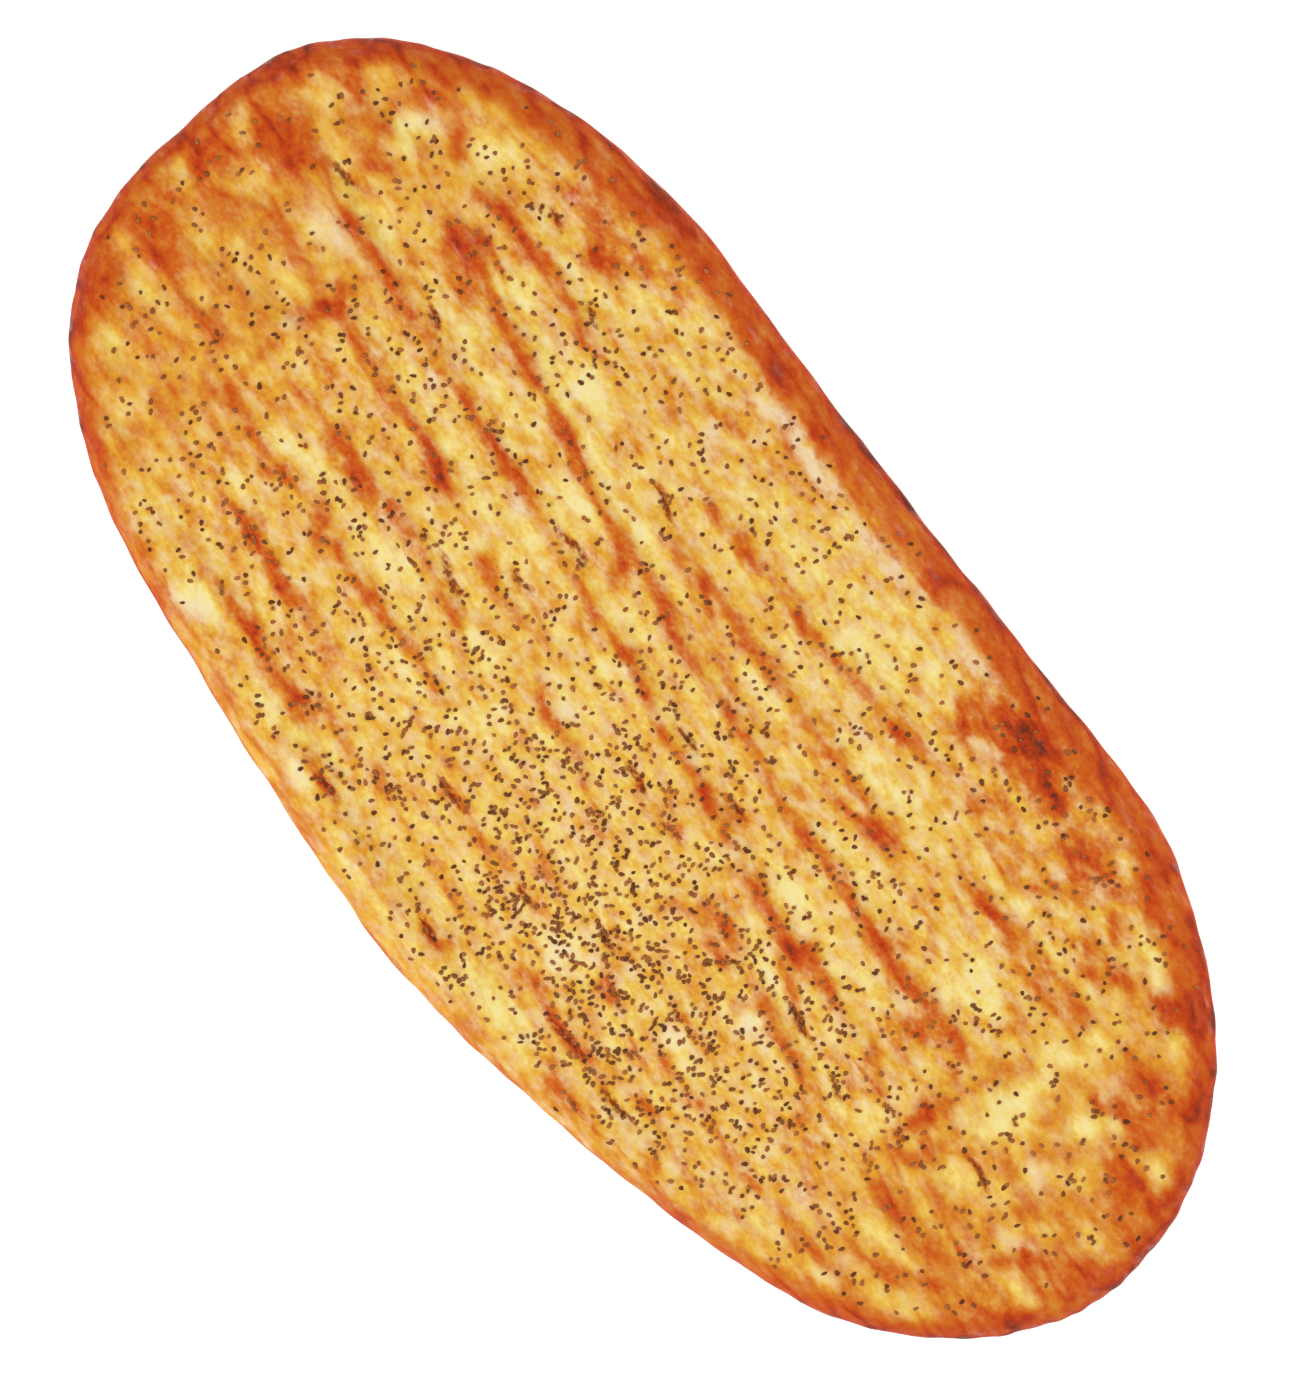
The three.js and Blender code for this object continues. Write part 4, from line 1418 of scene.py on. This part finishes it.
@dataclass(frozen=True)
class Studio:
    """Plain pale floor, soft light and the camera of the photograph."""

    photograph: Photograph = Photograph()
    softboxes: tuple[Softbox, ...] = (
        Softbox("key", (-0.1, -1.1, 1.15), (1.3, 0.5), 13.1),
        Softbox("fill_back", (0.3, 1.2, 1.0), (1.4, 0.8), 9.0),
        Softbox("fill_left", (-1.3, 0.1, 1.0), (0.8, 1.0), 3.8),
        Softbox("fill_right", (1.3, 0.1, 1.0), (0.8, 1.0), 3.8),
    )
    sky_strength: float = 0.265
    floor_half: float = 12.0
    floor_gap: float = 0.05  # above the flat underside, in millimetres, so that they don't share a plane
    floor_glow: float = 0.53

    def build(self) -> None:
        """Builds floor, lights and camera."""
        self._floor()
        self._world()
        for softbox in self.softboxes:
            softbox.build()
        self._camera()
        settings = bpy.context.scene.view_settings
        settings.view_transform = "Standard"
        settings.look = "None"

    def _floor(self) -> None:
        """Adds the pale floor."""
        half, level = self.floor_half, self.floor_gap * MM
        corners = [(-half, -half, level), (half, -half, level), (half, half, level), (-half, half, level)]
        mesh = bpy.data.meshes.new("floor")
        mesh.from_pydata(corners, [], [(0, 1, 2, 3)])
        material, graph = new_material("pale_floor")
        graph.surface({"Base Color": srgb(246, 246, 246), "Roughness": 0.9, "Specular IOR Level": 0.0,
                       "Emission Color": (1.0, 1.0, 1.0), "Emission Strength": self.floor_glow})
        mesh.materials.append(material)
        new_object("floor", mesh)

    def _world(self) -> None:
        """Lights the scene evenly from all sides."""
        world = bpy.data.worlds.new("studio")
        bpy.context.scene.world = world
        world.use_nodes = True
        graph = Graph(world.node_tree)
        sky = graph.add("ShaderNodeBackground", {}, {"Color": (1.0, 1.0, 1.0), "Strength": self.sky_strength})
        graph.add("ShaderNodeOutputWorld", {}, {"Surface": sky.out()})

    def _camera(self) -> None:
        """Places the camera over the loaf as the photograph was taken."""
        photo = self.photograph
        turn, tilt = math.radians(photo.turn), math.radians(photo.tilt)
        right = Vector((math.cos(turn), math.sin(turn), 0))
        up = Vector((-math.sin(turn), math.cos(turn), 0))
        back = Vector((0, math.sin(tilt), math.cos(tilt)))
        right = (right - right.dot(back) * back).normalized()
        up = back.cross(right)
        aside = (photo.width / 2 - photo.loaf_middle[0]) / photo.pixels_per_mm * MM
        above = (photo.loaf_middle[1] - photo.height / 2) / photo.pixels_per_mm * MM
        target = Vector((0, 0, photo.target_height * MM)) + right * aside + up * above
        data = bpy.data.cameras.new("camera")
        data.lens = data.sensor_width * photo.distance / (photo.height / photo.pixels_per_mm * MM)
        camera = new_object("camera", data)
        camera.matrix_world = (Matrix.Translation(target + back * photo.distance)
                               @ Matrix((right, up, back)).transposed().to_4x4())
        bpy.context.scene.camera = camera


# ---- Putting it together ----

def report(piece: bpy.types.Object) -> None:
    """Logs a piece's name and triangle count."""
    piece.data.calc_loop_triangles()
    log.info("%s: %d triangles", piece.name, len(piece.data.loop_triangles))


def main() -> None:
    """Builds the bread around its frame, then the studio."""
    logging.basicConfig(level=logging.INFO, format="%(name)s: %(message)s")
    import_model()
    low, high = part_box(BREAD_NODE)

    loaf = Loaf((high.x - low.x) / MM, (high.y - low.y) / MM)
    crust = loaf.build(CrustFinish())
    seeds = NigellaSeeds().build(crust, SeedFinish())
    for piece in (crust, seeds):
        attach(piece, BODY)
        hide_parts(BREAD_NODE)
        report(piece)

    Studio().build()


if __name__ == "__main__":
    main()
